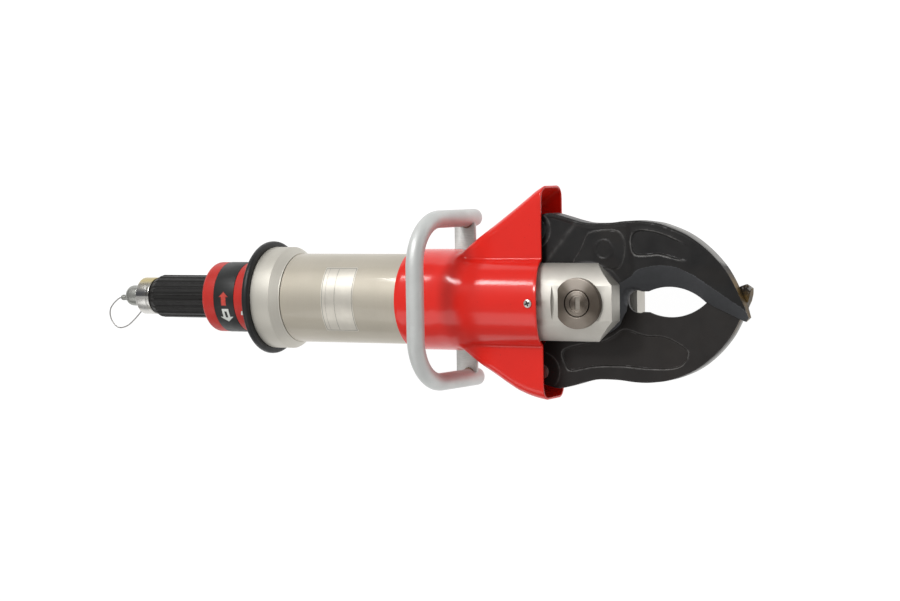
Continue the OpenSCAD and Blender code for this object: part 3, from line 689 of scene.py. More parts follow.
# ------------------------------------------------------------------ fluted grip
FLUTES = 20


def grip_shape(x, r, a):
    if r < 20:
        return r
    ph = (a * FLUTES / (2 * math.pi)) % 1.0
    d = (ph - 0.5) * 2 * math.pi * 24.7 / FLUTES
    depth = 0.82 * max(0.0, math.sqrt(max(0.0, 2.2 ** 2 - d * d)) - 0.62)
    # run out at both ends of the flute
    k = min(1.0, max(0.0, (x + 560.5) / 5.0)) * min(1.0, max(0.0, (-481.5 - x) / 4.0))
    k = k * k * (3 - 2 * k)
    return r - depth * k


gp = [(-563.9, 17.1)] + fillet([(-563.9, 17.1), (-563.9, 20.2, 0.9), (-555.0, 24.7, 4.0), (-540, 24.7)], 5)[1:-1]
gp += [(x, 24.7) for x in (-553.2, -551, -547, -540, -530, -520, -510, -500, -492, -487, -485.2, -484, -483, -482.2, -481.5, -480.8)] + [(-480.0, 24.6), (-479.3, 24.2), (-479.05, 23.6), (-479.05, 17.1)]
lathe("grip", gp, "frame_body", M_GRIP, ("grip_sleeve",), FLUTES * 18, shape=grip_shape, angle=38)

# ------------------------------------------------------------------ coupling, plug, ferrule, anchor
lathe("coupling_shell", fillet([(-545, 4.1), (-545, 12), (-564.05, 12), (-564.05, 21.2, 0.5), (-565.2, 21.5, 0.4), (-567.6, 21.5, 0.2), (-568.0, 21.15, 0.15), (-568.6, 21.15, 0.15), (-569.0, 21.5, 0.2),
                                   (-581.2, 21.5, 1.2), (-583, 19.9, 0.8), (-583, 10.4, 0.3), (-582, 9.1, 0.3), (-560.1, 9.1), (-560.1, 6.6), (-548.1, 6.6), (-548.1, 4.1)], 3),
      "frame_body", M_ZINC, ("coupling_body",), 128)
lathe("plug_cap", [(-563, 0), (-563, 7.8), (-564, 8.9), (-567.9, 8.9), (-567.9, 7.05), (-572.1, 7.05), (-572.1, 8.9)]
      + fillet([(-572.1, 8.9), (-583.45, 8.9), (-583.45, 12, 0.7), (-586.4, 12, 0.5), (-587.0, 11.3, 0.4), (-588.6, 11.3, 0.4), (-589.2, 12, 0.5), (-596.6, 12), (-598, 12)], 4)[1:-1]
      + arc(-598, 3, 8.95, 92, 165, 12) + [(-606.66, 2.2), (-606.66, 0)],
      "plug", M_PLUG, ("dust_plug",), 96, closed=False, angle=40)


def ferrule():
    prof = [(-606.7, 0)] + fillet([(-606.7, 0), (-606.7, 2.8, 0.3), (-608.0, 3.4, 0.5), (-610.2, 3.4, 0.2), (-610.8, 2.9, 0.2), (-611.6, 2.9, 0.2), (-612.2, 3.4, 0.2), (-615.0, 3.4, 0.6), (-616.5, 2.6, 0.4), (-616.5, 0)], 3)[1:-1] + [(-616.5, 0)]
    v, f = lathe_data(prof, 48, False)
    return make("ferrule", [(x, y - 2.5, z) for x, y, z in v], f, "plug", M_PLUG, ("tether_ferrule",), 40)


ferrule()


def anchor():
    prof = [(-574, 0), (-574, 1.9), (-583.05, 1.9), (-583.05, 3.0), (-583.4, 3.4), (-585.6, 3.4), (-586.4, 3.1), (-587, 2.2), (-587, 0)]
    v, f = lathe_data(prof, 40, False)
    return make("anchor_stud", [(x, y - 17, z) for x, y, z in v], f, "frame_body", M_PLUG, ("tether_anchor",), 40)


anchor()

# ------------------------------------------------------------------ pivot: bolt, lock screw, nut
FLAT_X = -22.1


def bolt():
    prof = fillet([(-59.5, 0), (-59.5, 17.95, 1.2), (43.85, 17.95), (43.85, 27, 0.25), (47.6, 27, 0.4), (48.8, 25.9, 0.5), (48.8, 15.2, 0.3), (48.3, 14.6, 0.2), (45.5, 14.0), (45.5, 5.0), (10, 5.0), (10, 0)], 4)
    v, f = lathe_data(prof, 144, False, axis="z")
    out = []
    for x, y, z in v:
        if z > 43.8 and x < FLAT_X:
            # the flat beside the milled face, with a broken edge at the top
            x = FLAT_X + (0.6 * max(0.0, z - 48.2) if z > 48.2 else 0.0)
        out.append((x, y, z))
    return make("pivot_head", out, f, "frame_body", M_BOLT, ("pivot_bolt",), 30)


bolt()


def lock():
    """Lock screw: a round recess, and in its floor a slot for the driver."""
    prof = [(14, 0)] + fillet([(14, 0), (14, 5.0, 0.3), (45.4, 5.0), (45.45, 13.55, 0.1), (48.5, 13.55, 0.45), (48.5, 11.9, 0.05), (48.25, 11.65, 0.05), (48.25, 11.2, 0.05), (48.5, 10.95, 0.05),
                                (48.5, 8.9, 0.25), (48.1, 8.6, 0.1), (47.2, 8.6, 0.15), (47.2, 0)], 3)[1:-1] + [(47.2, 7.2), (47.2, 0)]
    v, f = lathe_data(prof, 144, False, axis="z")
    o = make("lock_cap", v, f, None, [M_BOLT, M_SLOT], (), 30)
    cut = bmesh.new()
    plan = rounded_rect(-3.0, 3.0, -6.6, 6.6, 1.0, 3)
    lo = [cut.verts.new(P(x, y, 46.1)) for x, y in plan]
    hi = [cut.verts.new(P(x * 1.02, y * 1.02, 52.0)) for x, y in plan]
    cut.faces.new(lo[::-1])
    cut.faces.new(hi)
    for i in range(len(plan)):
        j = (i + 1) % len(plan)
        cut.faces.new((lo[i], lo[j], hi[j], hi[i]))
    bmesh.ops.recalc_face_normals(cut, faces=cut.faces)
    cme = bpy.data.meshes.new("cut")
    cut.to_mesh(cme)
    cut.free()
    co = bpy.data.objects.new("cut", cme)
    scene.collection.objects.link(co)
    mod(o, "BOOLEAN", operation="DIFFERENCE", object=co, solver="EXACT")
    apply_mods(o, 30)
    bpy.data.objects.remove(co)
    for q in o.data.polygons:
        c = q.center
        if abs(c.z - AXIS - 46.1 * MM) < 0.0001:
            q.material_index = 1
    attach(o, "frame_body")
    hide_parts("lock_screw")
    return o


lock()


def nut():
    """Closed hexagon nut with turned chamfers."""
    n = 144

    def hexr(a, af):
        s = ((math.degrees(a) + 30.0) % 60.0) - 30.0
        return af / 2 / math.cos(math.radians(s))

    verts, rings, faces = [], [], []
    rows = [(-64, 0), (-64, 26.4), (-63.2, 28.2), (-62.4, 29.8), (-61.6, 31.2), (-61.0, 40), (-46.4, 40), (-45.6, 31.2), (-44.8, 29.8), (-43.85, 28.2), (-43.85, 18.05), (-60.0, 18.05), (-60.0, 0)]
    for z, r in rows:
        if r == 0:
            rings.append([len(verts)])
            verts.append((0, 0, z))
            continue
        ring = []
        for k in range(n):
            a = 2 * math.pi * k / n
            q = min(r, hexr(a, 55.0))
            ring.append(len(verts))
            verts.append((q * math.cos(a), q * math.sin(a), z))
        rings.append(ring)
    for A, B in zip(rings, rings[1:]):
        for k in range(n):
            k2 = (k + 1) % n
            if len(A) == 1:
                faces.append((A[0], B[k2], B[k]))
            elif len(B) == 1:
                faces.append((A[k], A[k2], B[0]))
            else:
                faces.append((A[k], A[k2], B[k2], B[k]))
    return make("nut_body", verts, faces, "frame_body", M_BOLT, ("pivot_nut",), 24)


nut()

# ------------------------------------------------------------------ blades: outline cut from circles and lines, faces shaped by height maps
OUTER = [(-72, 88), (-58, 92), (-44, 94.5), (-28, 91), (-14, 87), (0, 84), (14, 83.5), (28, 84), (42, 85.5), (56, 86), (69, 85), (82, 83), (96, 78.5), (110, 72.5), (123, 64.5), (137, 53), (150, 39), (158, 27), (164, 15.5), (168.5, 6), (172.5, -2)]
TIPS = [(176, -15), (171, -19.5), (165, -17.5), (158, -14), (148, -9.5), (135, -4)]
REST = [(128, 0), (60, -4), (36, 0), (-30, 0), (-38, 6), (-58, 42), (-78, 70)]
TAIL = (-65.0, 77.0)
EDGE_C, EDGE_R = (86.0, -44.0), 60.0
POCKET_A = [(50.5, 66), (51, 57), (53.5, 52), (58, 49.5), (70, 49.5), (82, 50.5), (93, 48), (106, 44.5), (118, 43), (118, 58), (105, 65), (95.5, 69), (84.5, 73), (73, 75.5), (61, 76.5), (54, 73.5)]
POCKET_B = [(-40, 53), (-37.5, 69), (-30, 75.5), (-5, 71), (26, 69.5), (60, 71.5), (84, 71), (98, 67), (105, 57), (102, 48), (80, 37), (57, 35.5), (38, 30), (30, 30), (22, 35), (8, 42), (-12, 45)]
PANEL = [(-15, 40), (-8, 55), (-1, 70), (4, 74), (20, 76.5), (34, 75.5), (41, 70), (43.5, 60), (42, 46), (36, 36), (20, 36)]


def closed_curve(p, n):
    m = len(p)
    out = []
    for i in range(m):
        a, b, c, d = (Vector(p[(i + k) % m]) for k in (-1, 0, 1, 2))
        for k in range(n):
            t = k / n
            q = 0.5 * (2 * b + (c - a) * t + (2 * a - 5 * b + 4 * c - d) * t * t + (3 * b - a - 3 * c + d) * t ** 3)
            out.append((q.x, q.y))
    return out


def circle(cx, cy, r, n):
    return [(cx + r * math.cos(2 * math.pi * k / n), cy + r * math.sin(2 * math.pi * k / n)) for k in range(n)]


def shrink(poly, w):
    """Moves a smooth closed outline inwards by w."""
    area = sum(a[0] * b[1] - b[0] * a[1] for a, b in zip(poly, poly[1:] + poly[:1]))
    s = 1.0 if area > 0 else -1.0
    out = []
    n = len(poly)
    for i in range(n):
        a, b = poly[(i - 1) % n], poly[(i + 1) % n]
        tx, ty = b[0] - a[0], b[1] - a[1]
        l = math.hypot(tx, ty) or 1.0
        out.append((poly[i][0] - s * ty / l * w, poly[i][1] + s * tx / l * w))
    return out


def seg_dist(pts, line, closed=False):
    """Distance of each point to a polyline, with numpy."""
    L = np.array(line, float)
    A = L if closed else L[:-1]
    B = np.roll(L, -1, 0) if closed else L[1:]
    best = np.full(len(pts), 1e9)
    for a, b in zip(A, B):
        ab = b - a
        q = float(ab @ ab)
        if q < 1e-12:
            continue
        t = np.clip(((pts - a) @ ab) / q, 0, 1)
        d = np.hypot(*(pts - (a + t[:, None] * ab)).T)
        best = np.minimum(best, d)
    return best


def in_poly(pts, poly):
    x, y = pts[:, 0], pts[:, 1]
    c = np.zeros(len(pts), bool)
    n = len(poly)
    for i in range(n):
        x1, y1 = poly[i]
        x2, y2 = poly[(i + 1) % n]
        if y1 == y2:
            continue
        hit = ((y1 > y) != (y2 > y)) & (x < (x2 - x1) * (y - y1) / (y2 - y1) + x1)
        c ^= hit
    return c


def sstep(a, b, v):
    t = np.clip((v - a) / (b - a), 0, 1)
    return t * t * (3 - 2 * t)


def signed(pts, poly):
    """Positive inside."""
    d = seg_dist(pts, poly, True)
    return np.where(in_poly(pts, poly), d, -d)


outer_fine = [tuple(q) for q in catmull([(a, b, 0) for a, b in OUTER], 6)]
outer_fine = [(q[0], q[1]) for q in outer_fine]
main_poly = outer_fine + TIPS + REST
pocket_a = closed_curve(POCKET_A, 5)
pocket_b = closed_curve(POCKET_B, 6)
panel = closed_curve(PANEL, 5)
T0, T1 = 0.2, 22.5
rim_line = outer_fine + [(176, -15)]


CONE = 23.3 / 26.5
TIPB = 1.0 / math.tan(math.radians(53))
THIN = math.tan(math.radians(8.5))


def rim_width(x):
    return np.interp(x, [-75, -40, -10, 40, 56, 100, 115, 130, 142, 172], [1.2, 1.6, 1.7, 1.8, 2.0, 2.0, 1.6, 1.2, 0.5, 0.5])


def cone(p):
    rho = np.hypot(p[:, 0] - EDGE_C[0], p[:, 1] - EDGE_C[1])
    return 2.2 + (rho - EDGE_R) * CONE


def tip_bevel(p):
    """Ground plane that carries the edge out to the tip."""
    a = math.radians(-25)
    dx, dy = p[:, 0] - 128, p[:, 1]
    v = -math.sin(a) * dx + math.cos(a) * dy
    return np.where(p[:, 0] > 118, 2.2 + v * TIPB, 99.0)


def top_height(p):
    x, y = p[:, 0], p[:, 1]
    h = np.full(len(p), T1)
    r0 = np.hypot(x, y)
    d_out = seg_dist(p, rim_line)
    # the field around the raised panel is lower than the jaw and the hub; the tail is lower again beyond a sloping band
    jaw = sstep(44.0 - 0.12 * (y - 60), 55.0 - 0.12 * (y - 60), x)
    hub = 1 - sstep(39.0, 44.5, r0)
    band = ((x + 46.4) * 37.2 - (y - 48.1) * 32.3) / math.hypot(37.2, 32.3)
    low = 2.6 + 1.7 * (1 - sstep(-3.4, 3.4, band))
    field = (1 - jaw) * (1 - hub)
    rim_keep = 1 - sstep(2.0, 6.5, d_out)
    field = field * (1 - 0.55 * rim_keep)
    h -= low * field
    # raised panel with a plain round boss
    s = signed(p, panel)
    h += 1.5 * sstep(-0.6, 1.2, s) * (1 - hub)
    q = np.hypot(x - 19.5, y - 55.5)
    h += 0.55 * (sstep(11.6, 10.6, q) - sstep(9.2, 8.2, q)) * (1 - hub)
    # tail boss
    t = np.hypot(x - TAIL[0], y - TAIL[1])
    h = np.maximum(h, np.where(t < 20, T1 - 0.3 - 3.6 * sstep(13.2, 15.0, t) - 0.8 * (1 - sstep(10.2, 10.9, t)) * sstep(8.0, 8.6, t), 0))
    # thinner towards the tip
    h -= np.where(x > 90, 0.5 * (np.hypot(x - 100, 3.0) + (x - 100)) * THIN, 0)
    # jaw pocket with sloping walls, which runs out where the jaw gets thinner
    s = signed(p, pocket_a)
    h += 0.28 * np.exp(-((s + 1.2) / 1.1) ** 2) * (s < 3) * (1 - sstep(96, 110, x))
    h = np.where(s > -0.4, np.minimum(h, T1 - 2.2 * sstep(-0.4, 1.9, s)), h)
    # broken edge along the outer wall
    w = rim_width(x)
    h -= np.clip(w - d_out, 0, None) * 0.7
    # ground faces
    h = np.minimum(h, cone(p))
    h = np.minimum(h, tip_bevel(p))
    # bevel round the notch
    nq = np.hypot(x - 50, y)
    nb = 3.0 + (nq - 12.0) * 2.4
    h = np.where((x < 62), np.minimum(h, np.maximum(nb, 3.0)), h)
    return np.maximum(h, T0 + 1.6)


def bottom_height(p):
    x = p[:, 0]
    b = np.full(len(p), T0)
    s = signed(p, pocket_b)
    b += 2.0 * sstep(-0.3, 1.7, s)
    d_out = seg_dist(p, rim_line)
    b += np.clip(0.6 - d_out, 0, None) * 0.8
    return b


def blade_mesh():
    feature_closed = [main_poly, circle(0, 0, 38, 120), circle(TAIL[0], TAIL[1], 14.5, 64), circle(EDGE_C[0], EDGE_C[1], EDGE_R, 220), circle(50, 0, 12, 64),
                      [(50, -40), (62, -40), (62, 11), (50, 11)], circle(0, 0, 18.1, 72), circle(TAIL[0], TAIL[1], 8.0, 40)]
    extra_closed = [shrink(pocket_a, -0.5), pocket_a, shrink(pocket_a, 0.7), shrink(pocket_a, 1.9), shrink(pocket_b, -0.4), pocket_b, shrink(pocket_b, 0.7), shrink(pocket_b, 1.7), panel, shrink(panel, -0.6), shrink(panel, 1.2), circle(19.5, 55.5, 11.6, 48), circle(19.5, 55.5, 9.2, 40),
                    circle(TAIL[0], TAIL[1], 10.9, 48), circle(TAIL[0], TAIL[1], 13.2, 56), circle(TAIL[0], TAIL[1], 20.7, 84), circle(TAIL[0], TAIL[1], 21.2, 86), circle(TAIL[0], TAIL[1], 21.7, 88)]
    of = np.array(outer_fine)
    tang = np.gradient(of, axis=0)
    tang /= np.hypot(*tang.T)[:, None]
    nrm = np.stack([tang[:, 1], -tang[:, 0]], 1)
    wid = rim_width(of[:, 0])
    inner_rim = [tuple(q) for q in (of + nrm * wid[:, None])]
    inner_rim_b = [tuple(q) for q in (of + nrm * 0.6)]
    # where the cone meets the flat, and where the tip's plane does
    lines = [inner_rim[4:], inner_rim_b[60:-3]]
    meet = []
    for a in range(18, 152, 2):
        ca, sa = math.cos(math.radians(a)), math.sin(math.radians(a))
        r = 83.0
        for _ in range(12):
            r = EDGE_R + (T1 - max(0.0, EDGE_C[0] + r * ca - 100) * THIN - 2.2) / CONE
        meet.append((EDGE_C[0] + r * ca, EDGE_C[1] + r * sa))
    lines.append([q for q in meet if q[0] < 139])
    sn, cs = math.sin(math.radians(25)), math.cos(math.radians(25))
    lines.append([(x, ((T1 - (x - 100) * THIN - 2.2) / TIPB - sn * (x - 128)) / cs) for x in np.linspace(136, 169, 18)])
    verts, edges = [], []

    def add(poly, closed, step=1.5):
        dense = []
        m = len(poly)
        for i in range(m if closed else m - 1):
            a, b = poly[i], poly[(i + 1) % m]
            k = max(1, int(math.hypot(b[0] - a[0], b[1] - a[1]) / step))
            dense += [(a[0] + (b[0] - a[0]) * t / k, a[1] + (b[1] - a[1]) * t / k) for t in range(k)]
        if not closed:
            dense.append(poly[-1])
        s = len(verts)
        verts.extend(dense)
        m = len(dense)
        for i in range(m if closed else m - 1):
            edges.append((s + i, s + (i + 1) % m))

    for pl in feature_closed + extra_closed:
        add(pl, True)
    for pl in lines:
        add(pl, False)
    fixed = np.array(verts)
    grid = []
    st = 1.55
    rows = int(132 / (st * 0.866)) + 2
    for j in range(rows):
        yy = -24 + j * st * 0.866
        for i in range(int(262 / st) + 2):
            grid.append((-84 + i * st + (st / 2 if j % 2 else 0), yy))
    grid = np.array(grid)
    near = np.full(len(grid), 1e9)
    for k in range(0, len(fixed), 400):
        blk = fixed[k:k + 400]
        near = np.minimum(near, np.sqrt(((grid[:, None, :] - blk[None]) ** 2).sum(2)).min(1))
    grid = grid[near > 0.62]
    res = delaunay_2d_cdt([Vector(v) for v in verts] + [Vector((float(a), float(b))) for a, b in grid], edges, [], 0, 1e-4)
    V = np.array([(v.x, v.y) for v in res[0]])
    F = np.array([tuple(f) for f in res[2] if len(f) == 3])
    C = V[F].mean(1)
    dist = lambda c: np.hypot(C[:, 0] - c[0], C[:, 1] - c[1])
    keep = in_poly(C, main_poly) | (dist(TAIL) < 14.5 * 0.9995) | (dist((0, 0)) < 38 * 0.9998)
    keep &= dist(EDGE_C) > EDGE_R * 0.9998
    keep &= dist((50, 0)) > 12 * 0.9995
    keep &= ~((C[:, 0] > 50) & (C[:, 0] < 62) & (C[:, 1] > -40) & (C[:, 1] < 11))
    keep &= dist((0, 0)) > 18.1 * 0.9995
    keep &= dist(TAIL) > 8.0 * 0.9995
    F = F[keep]
    # one connected piece: the largest
    parent = list(range(len(V)))

    def find(a):
        while parent[a] != a:
            parent[a] = parent[parent[a]]
            a = parent[a]
        return a

    for a, b, c in F:
        ra = find(a)
        for o in (b, c):
            rb = find(o)
            if ra != rb:
                parent[rb] = ra
    roots = np.array([find(a) for a in F[:, 0]])
    vals, cnt = np.unique(roots, return_counts=True)
    F = F[roots == vals[cnt.argmax()]]
    area = (V[F[:, 1], 0] - V[F[:, 0], 0]) * (V[F[:, 2], 1] - V[F[:, 0], 1]) - (V[F[:, 2], 0] - V[F[:, 0], 0]) * (V[F[:, 1], 1] - V[F[:, 0], 1])
    F[area < 0] = F[area < 0][:, ::-1]
    F = F[np.abs(area) > 1e-5]
    return V, F


def blade(name, body, node, flip):
    V, F = BLADE_VF
    used = np.unique(F)
    at = np.full(len(V), -1)
    at[used] = np.arange(len(used))
    p = V[used]
    n = len(p)
    ht, hb = BLADE_H
    top = [(float(a), float(b), float(c)) for (a, b), c in zip(p, ht)]
    bot = [(float(a), float(b), float(c)) for (a, b), c in zip(p, hb)]
    faces = [tuple(int(i) for i in at[f]) for f in F]
    half = {}
    for a, b, c in faces:
        for e in ((a, b), (b, c), (c, a)):
            half[e] = True
    nf = len(faces)
    allf = list(faces) + [(n + a, n + c, n + b) for a, b, c in faces]
    sides = [(b, a) for (a, b) in half if (b, a) not in half]
    verts = top + bot
    # sides: one quad for each outline edge, from the top face to the bottom face
    for (b, a) in sides:
        allf.append((b, a, n + a, n + b))
    if flip:
        verts = [(x, -y, -z) for x, y, z in verts]
    o = make(name, verts, allf, None, [M_BLADE, M_GROUND, M_TIP, M_RIM], (), 34)
    me = o.data
    s = -1.0 if flip else 1.0
    cen = np.array([(q.center.x / MM, s * q.center.y / MM) for q in me.polygons])
    outer_near = seg_dist(cen, rim_line) < 0.4
    for poly in me.polygons:
        c = poly.center
        x, y, z = c.x / MM, s * c.y / MM, s * (c.z - AXIS) / MM
        nz = poly.normal.z * s
        rho = math.hypot(x - EDGE_C[0], y - EDGE_C[1])
        idx = 0
        if nz > 0.3:
            v = math.sin(math.radians(25)) * (x - 128) + math.cos(math.radians(25)) * y
            if rho < 84 and abs(z - (2.2 + (rho - 60) * CONE)) < 0.35:
                idx = 1
            elif x > 118 and abs(z - (2.2 + v * TIPB)) < 0.4:
                idx = 1
            elif x < 62 and math.hypot(x - 50, y) < 19 and rho < 84:
                idx = 1
        if abs(nz) < 0.3 and x > 50 and outer_near[poly.index]:
            idx = 3
        elif x > 166 and idx == 0 and nz < 0.9:
            idx = 2
        poly.material_index = idx
    # room for the link in the tail
    cut = bmesh.new()
    ring = [(TAIL[0] + 19 * math.cos(math.radians(a)), TAIL[1] + 19 * math.sin(math.radians(a))) for a in range(-66, 135, 10)]
    w = 14.5
    ends = []
    for d, q in ((244, 334), (184, 94)):
        ends.append((TAIL[0] + 110 * math.cos(math.radians(d)) + w * math.cos(math.radians(q)), TAIL[1] + 110 * math.sin(math.radians(d)) + w * math.sin(math.radians(q))))
    plan = [ends[0]] + ring + [ends[1]]
    lo, hi = 6.85, 15.85
    vb = [cut.verts.new(P(x, s * y, s * lo)) for x, y in plan]
    vt = [cut.verts.new(P(x, s * y, s * hi)) for x, y in plan]
    m = len(plan)
    cut.faces.new(vb[::-1])
    cut.faces.new(vt)
    for i in range(m):
        j = (i + 1) % m
        cut.faces.new((vb[i], vb[j], vt[j], vt[i]))
    bmesh.ops.recalc_face_normals(cut, faces=cut.faces)
    cme = bpy.data.meshes.new("cut")
    cut.to_mesh(cme)
    cut.free()
    co = bpy.data.objects.new("cut", cme)
    scene.collection.objects.link(co)
    mod(o, "BOOLEAN", operation="DIFFERENCE", object=co, solver="EXACT")
    apply_mods(o, 34)
    bpy.data.objects.remove(co)
    # how strongly each point is rubbed or carries a painted highlight: the lips of the pockets and the edge of the
    # panel
    co = np.array([(v.co.x / MM, s * v.co.y / MM, s * (v.co.z - AXIS) / MM) for v in o.data.vertices])
    q = co[:, :2]
    rub_and_highlight = np.where(co[:, 2] > 14, np.exp(-((signed(q, pocket_a) + 0.1) / 0.55) ** 2) * (1 - sstep(98, 112, q[:, 0])), 0.0)
    rub_and_highlight = np.maximum(rub_and_highlight, np.where((co[:, 2] > 14) & (np.hypot(q[:, 0], q[:, 1]) > 40), 0.7 * np.exp(-((signed(q, panel) - 0.2) / 0.6) ** 2), 0.0))
    rub_and_highlight = np.maximum(rub_and_highlight, np.where(co[:, 2] < 5, np.exp(-((signed(q, pocket_b) - 0.05) / 0.5) ** 2) * np.where(q[:, 1] < 50, 0.45, 1.0), 0.0))
    band = ((q[:, 0] + 46.4) * 37.2 - (q[:, 1] - 48.1) * 32.3) / math.hypot(37.2, 32.3)
    out_d = seg_dist(q, rim_line)
    rub_and_highlight = np.maximum(rub_and_highlight, np.where((co[:, 2] > 14) & (np.hypot(q[:, 0], q[:, 1]) > 42) & (out_d > 1.5), 0.26 * np.exp(-((band - 1.2) / 2.3) ** 2), 0.0))
    tq = np.hypot(q[:, 0] - TAIL[0], q[:, 1] - TAIL[1])
    rub_and_highlight = np.maximum(rub_and_highlight, np.where((co[:, 2] > 14) & (q[:, 0] > -58) & (out_d > 1.5), 0.9 * np.exp(-((tq - 21.2) / 0.55) ** 2), 0.0))
    rub_and_highlight = np.maximum(rub_and_highlight, np.where((co[:, 2] < 5) & (q[:, 0] > -60) & (out_d > 1.5), 0.8 * np.exp(-((tq - 21.2) / 0.5) ** 2), 0.0))
    at_ = o.data.attributes.new("rub_and_highlight", "FLOAT", "POINT")
    at_.data.foreach_set("value", rub_and_highlight.astype(np.float32))
    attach(o, body)
    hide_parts(node)
    return o


BLADE_VF = blade_mesh()
_p = BLADE_VF[0][np.unique(BLADE_VF[1])]
BLADE_H = (top_height(_p), bottom_height(_p))
blade("jaw_upper", "upper_blade", "blade_upper", False)
blade("jaw_lower", "lower_blade", "blade_lower", True)

# ------------------------------------------------------------------ shield: sections along X, pressed from one sheet
WING_UP = [(-160, 38), (-156, 42), (-147, 54), (-127, 70), (-112, 81), (-98, 91), (-84, 101), (-69, 112), (-60, 119), (-51, 124), (-40, 127)]
WING_LO = [(-160, 38), (-156, 42), (-147, 55), (-127, 70), (-112, 79.5), (-98, 88.5), (-84, 96.5), (-72, 101.2), (-62, 104), (-51, 106), (-40, 106.5)]
FRONT = -51.0


def smooth_interp(tab, x, w=3.0):
    xs, ys = zip(*tab)
    return sum(np.interp(x + d * w, xs, ys) * k for d, k in ((-1, 0.25), (0, 0.5), (1, 0.25)))


def smin(a, b, k):
    h = np.clip(0.5 + 0.5 * (b - a) / k, 0, 1)
    return b * (1 - h) + a * h - k * h * (1 - h)


def shield_radius(x, th):
    """Distance from the axis to the skin, in the direction th (from +Y towards +Z), at station x."""
    c, s = math.cos(th), math.sin(th)
    W = smooth_interp(WING_UP if c > 0 else WING_LO, x)
    wz = 27.0 if c > 0 else 26.0
    # corner radius of the wing's end
    rc = 13.0 if c > 0 else 12.0
    slim = 1.04 if c > 0 else 1.0
    flare = float(sstep(-176, -138, np.array([x]))[0])
    # the sides keep the collar's width until the wing takes over
    half = 55.6 + (51.0 / slim - 55.6) * float(sstep(-160, -136, np.array([x]))[0])
    k = 2.4 + 8.0 * (1 - float(sstep(-160, -136, np.array([x]))[0]))
    rc = 7.0 + (rc - 7.0) * float(sstep(-148, -104, np.array([x]))[0])
    lift_z, R = 7.0 * flare, 55.6 + (51.0 - 55.6) * flare
    a = R / half

    def sdf(r):
        y, z = abs(r * c), abs(r * s)
        core = math.hypot(y * a, z - lift_z) - R if z > lift_z else y * a - R
        qx, qz = y - (W - rc), z - (wz - rc)
        wing = math.hypot(max(qx, 0), max(qz, 0)) + min(max(qx, qz), 0) - rc
        if x < -162:
            return core
        wing += 8.0 * (1 - float(sstep(-162, -150, np.array([x]))[0]))
        h = max(0.0, min(1.0, 0.5 + 0.5 * (wing - core) / k))
        return wing * (1 - h) + core * h - k * h * (1 - h)

    lo, hi = 20.0, 150.0
    for _ in range(26):
        mid = 0.5 * (lo + hi)
        if sdf(mid) < 0:
            lo = mid
        else:
            hi = mid
    return 0.5 * (lo + hi)


def front_x(z):
    return FRONT + 7.7 * max(0.0, (z - 26.0) / 32.0) ** 1.5


def shield():
    quarter = [0.0]
    for a, b, st in ((0, 6.1, 0.61), (6.1, 26, 0.72), (26, 33, 0.5), (33, 90, 2.1)):
        m = int(round((b - a) / st))
        quarter += [a + (b - a) * (i + 1) / m for i in range(m)]
    up = quarter
    degs = up + [180 - d for d in reversed(up[:-1])]
    degs += [180 + d for d in up[1:]] + [360 - d for d in reversed(up[1:-1])]
    n = len(degs)
    xs = list(np.linspace(-216, -174, 8)) + [-171.5, -168.4, -166, -163.5, -161, -158.5, -156, -153.5, -151, -148.5, -146, -144.2, -142.6] + list(np.linspace(-140.5, -58, 33)) + [-55.5, -53]
    verts, faces, idx = [], [], {}
    for i, x in enumerate(xs + [None]):
        for k, d in enumerate(degs):
            th = math.radians(d)
            if x is None:
                # front edge: the wings end first, the hood over the fork runs on
                r = shield_radius(FRONT, th)
                xx = front_x(abs(r * math.sin(th)))
            else:
                xx = x
                r = shield_radius(x, th)
                if x > -60:
                    rf = shield_radius(FRONT, th)
                    xx = -60 + (x + 60) * (front_x(abs(rf * math.sin(th))) + 60) / (FRONT + 60)
            idx[i, k] = len(verts)
            verts.append((xx, r * math.cos(th), r * math.sin(th)))
    rows = len(xs) + 1
    for i in range(rows - 1):
        for k in range(n):
            k2 = (k + 1) % n
            if i < len(xs) - 1 and xs[i] >= -168.5 and xs[i + 1] <= -142.5:
                # ways out for the handle's bars
                d = degs[k] + ((degs[k2] - degs[k]) % 360) / 2
                if abs((d + 90) % 180 - 90) < 2.5:
                    continue
            faces.append((idx[i, k], idx[i, k2], idx[i + 1, k2], idx[i + 1, k]))
    o = make("shield_sheet", verts, faces, None, M_RED, (), 40)
    mod(o, "SOLIDIFY", thickness=2.4 * MM, offset=-1.0, use_even_offset=True, use_quality_normals=True)
    mod(o, "BEVEL", width=0.55 * MM, segments=2, limit_method="ANGLE", angle_limit=math.radians(55))
    apply_mods(o, 46)
    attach(o, "frame_body")
    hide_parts("shield")
    return o


shield()

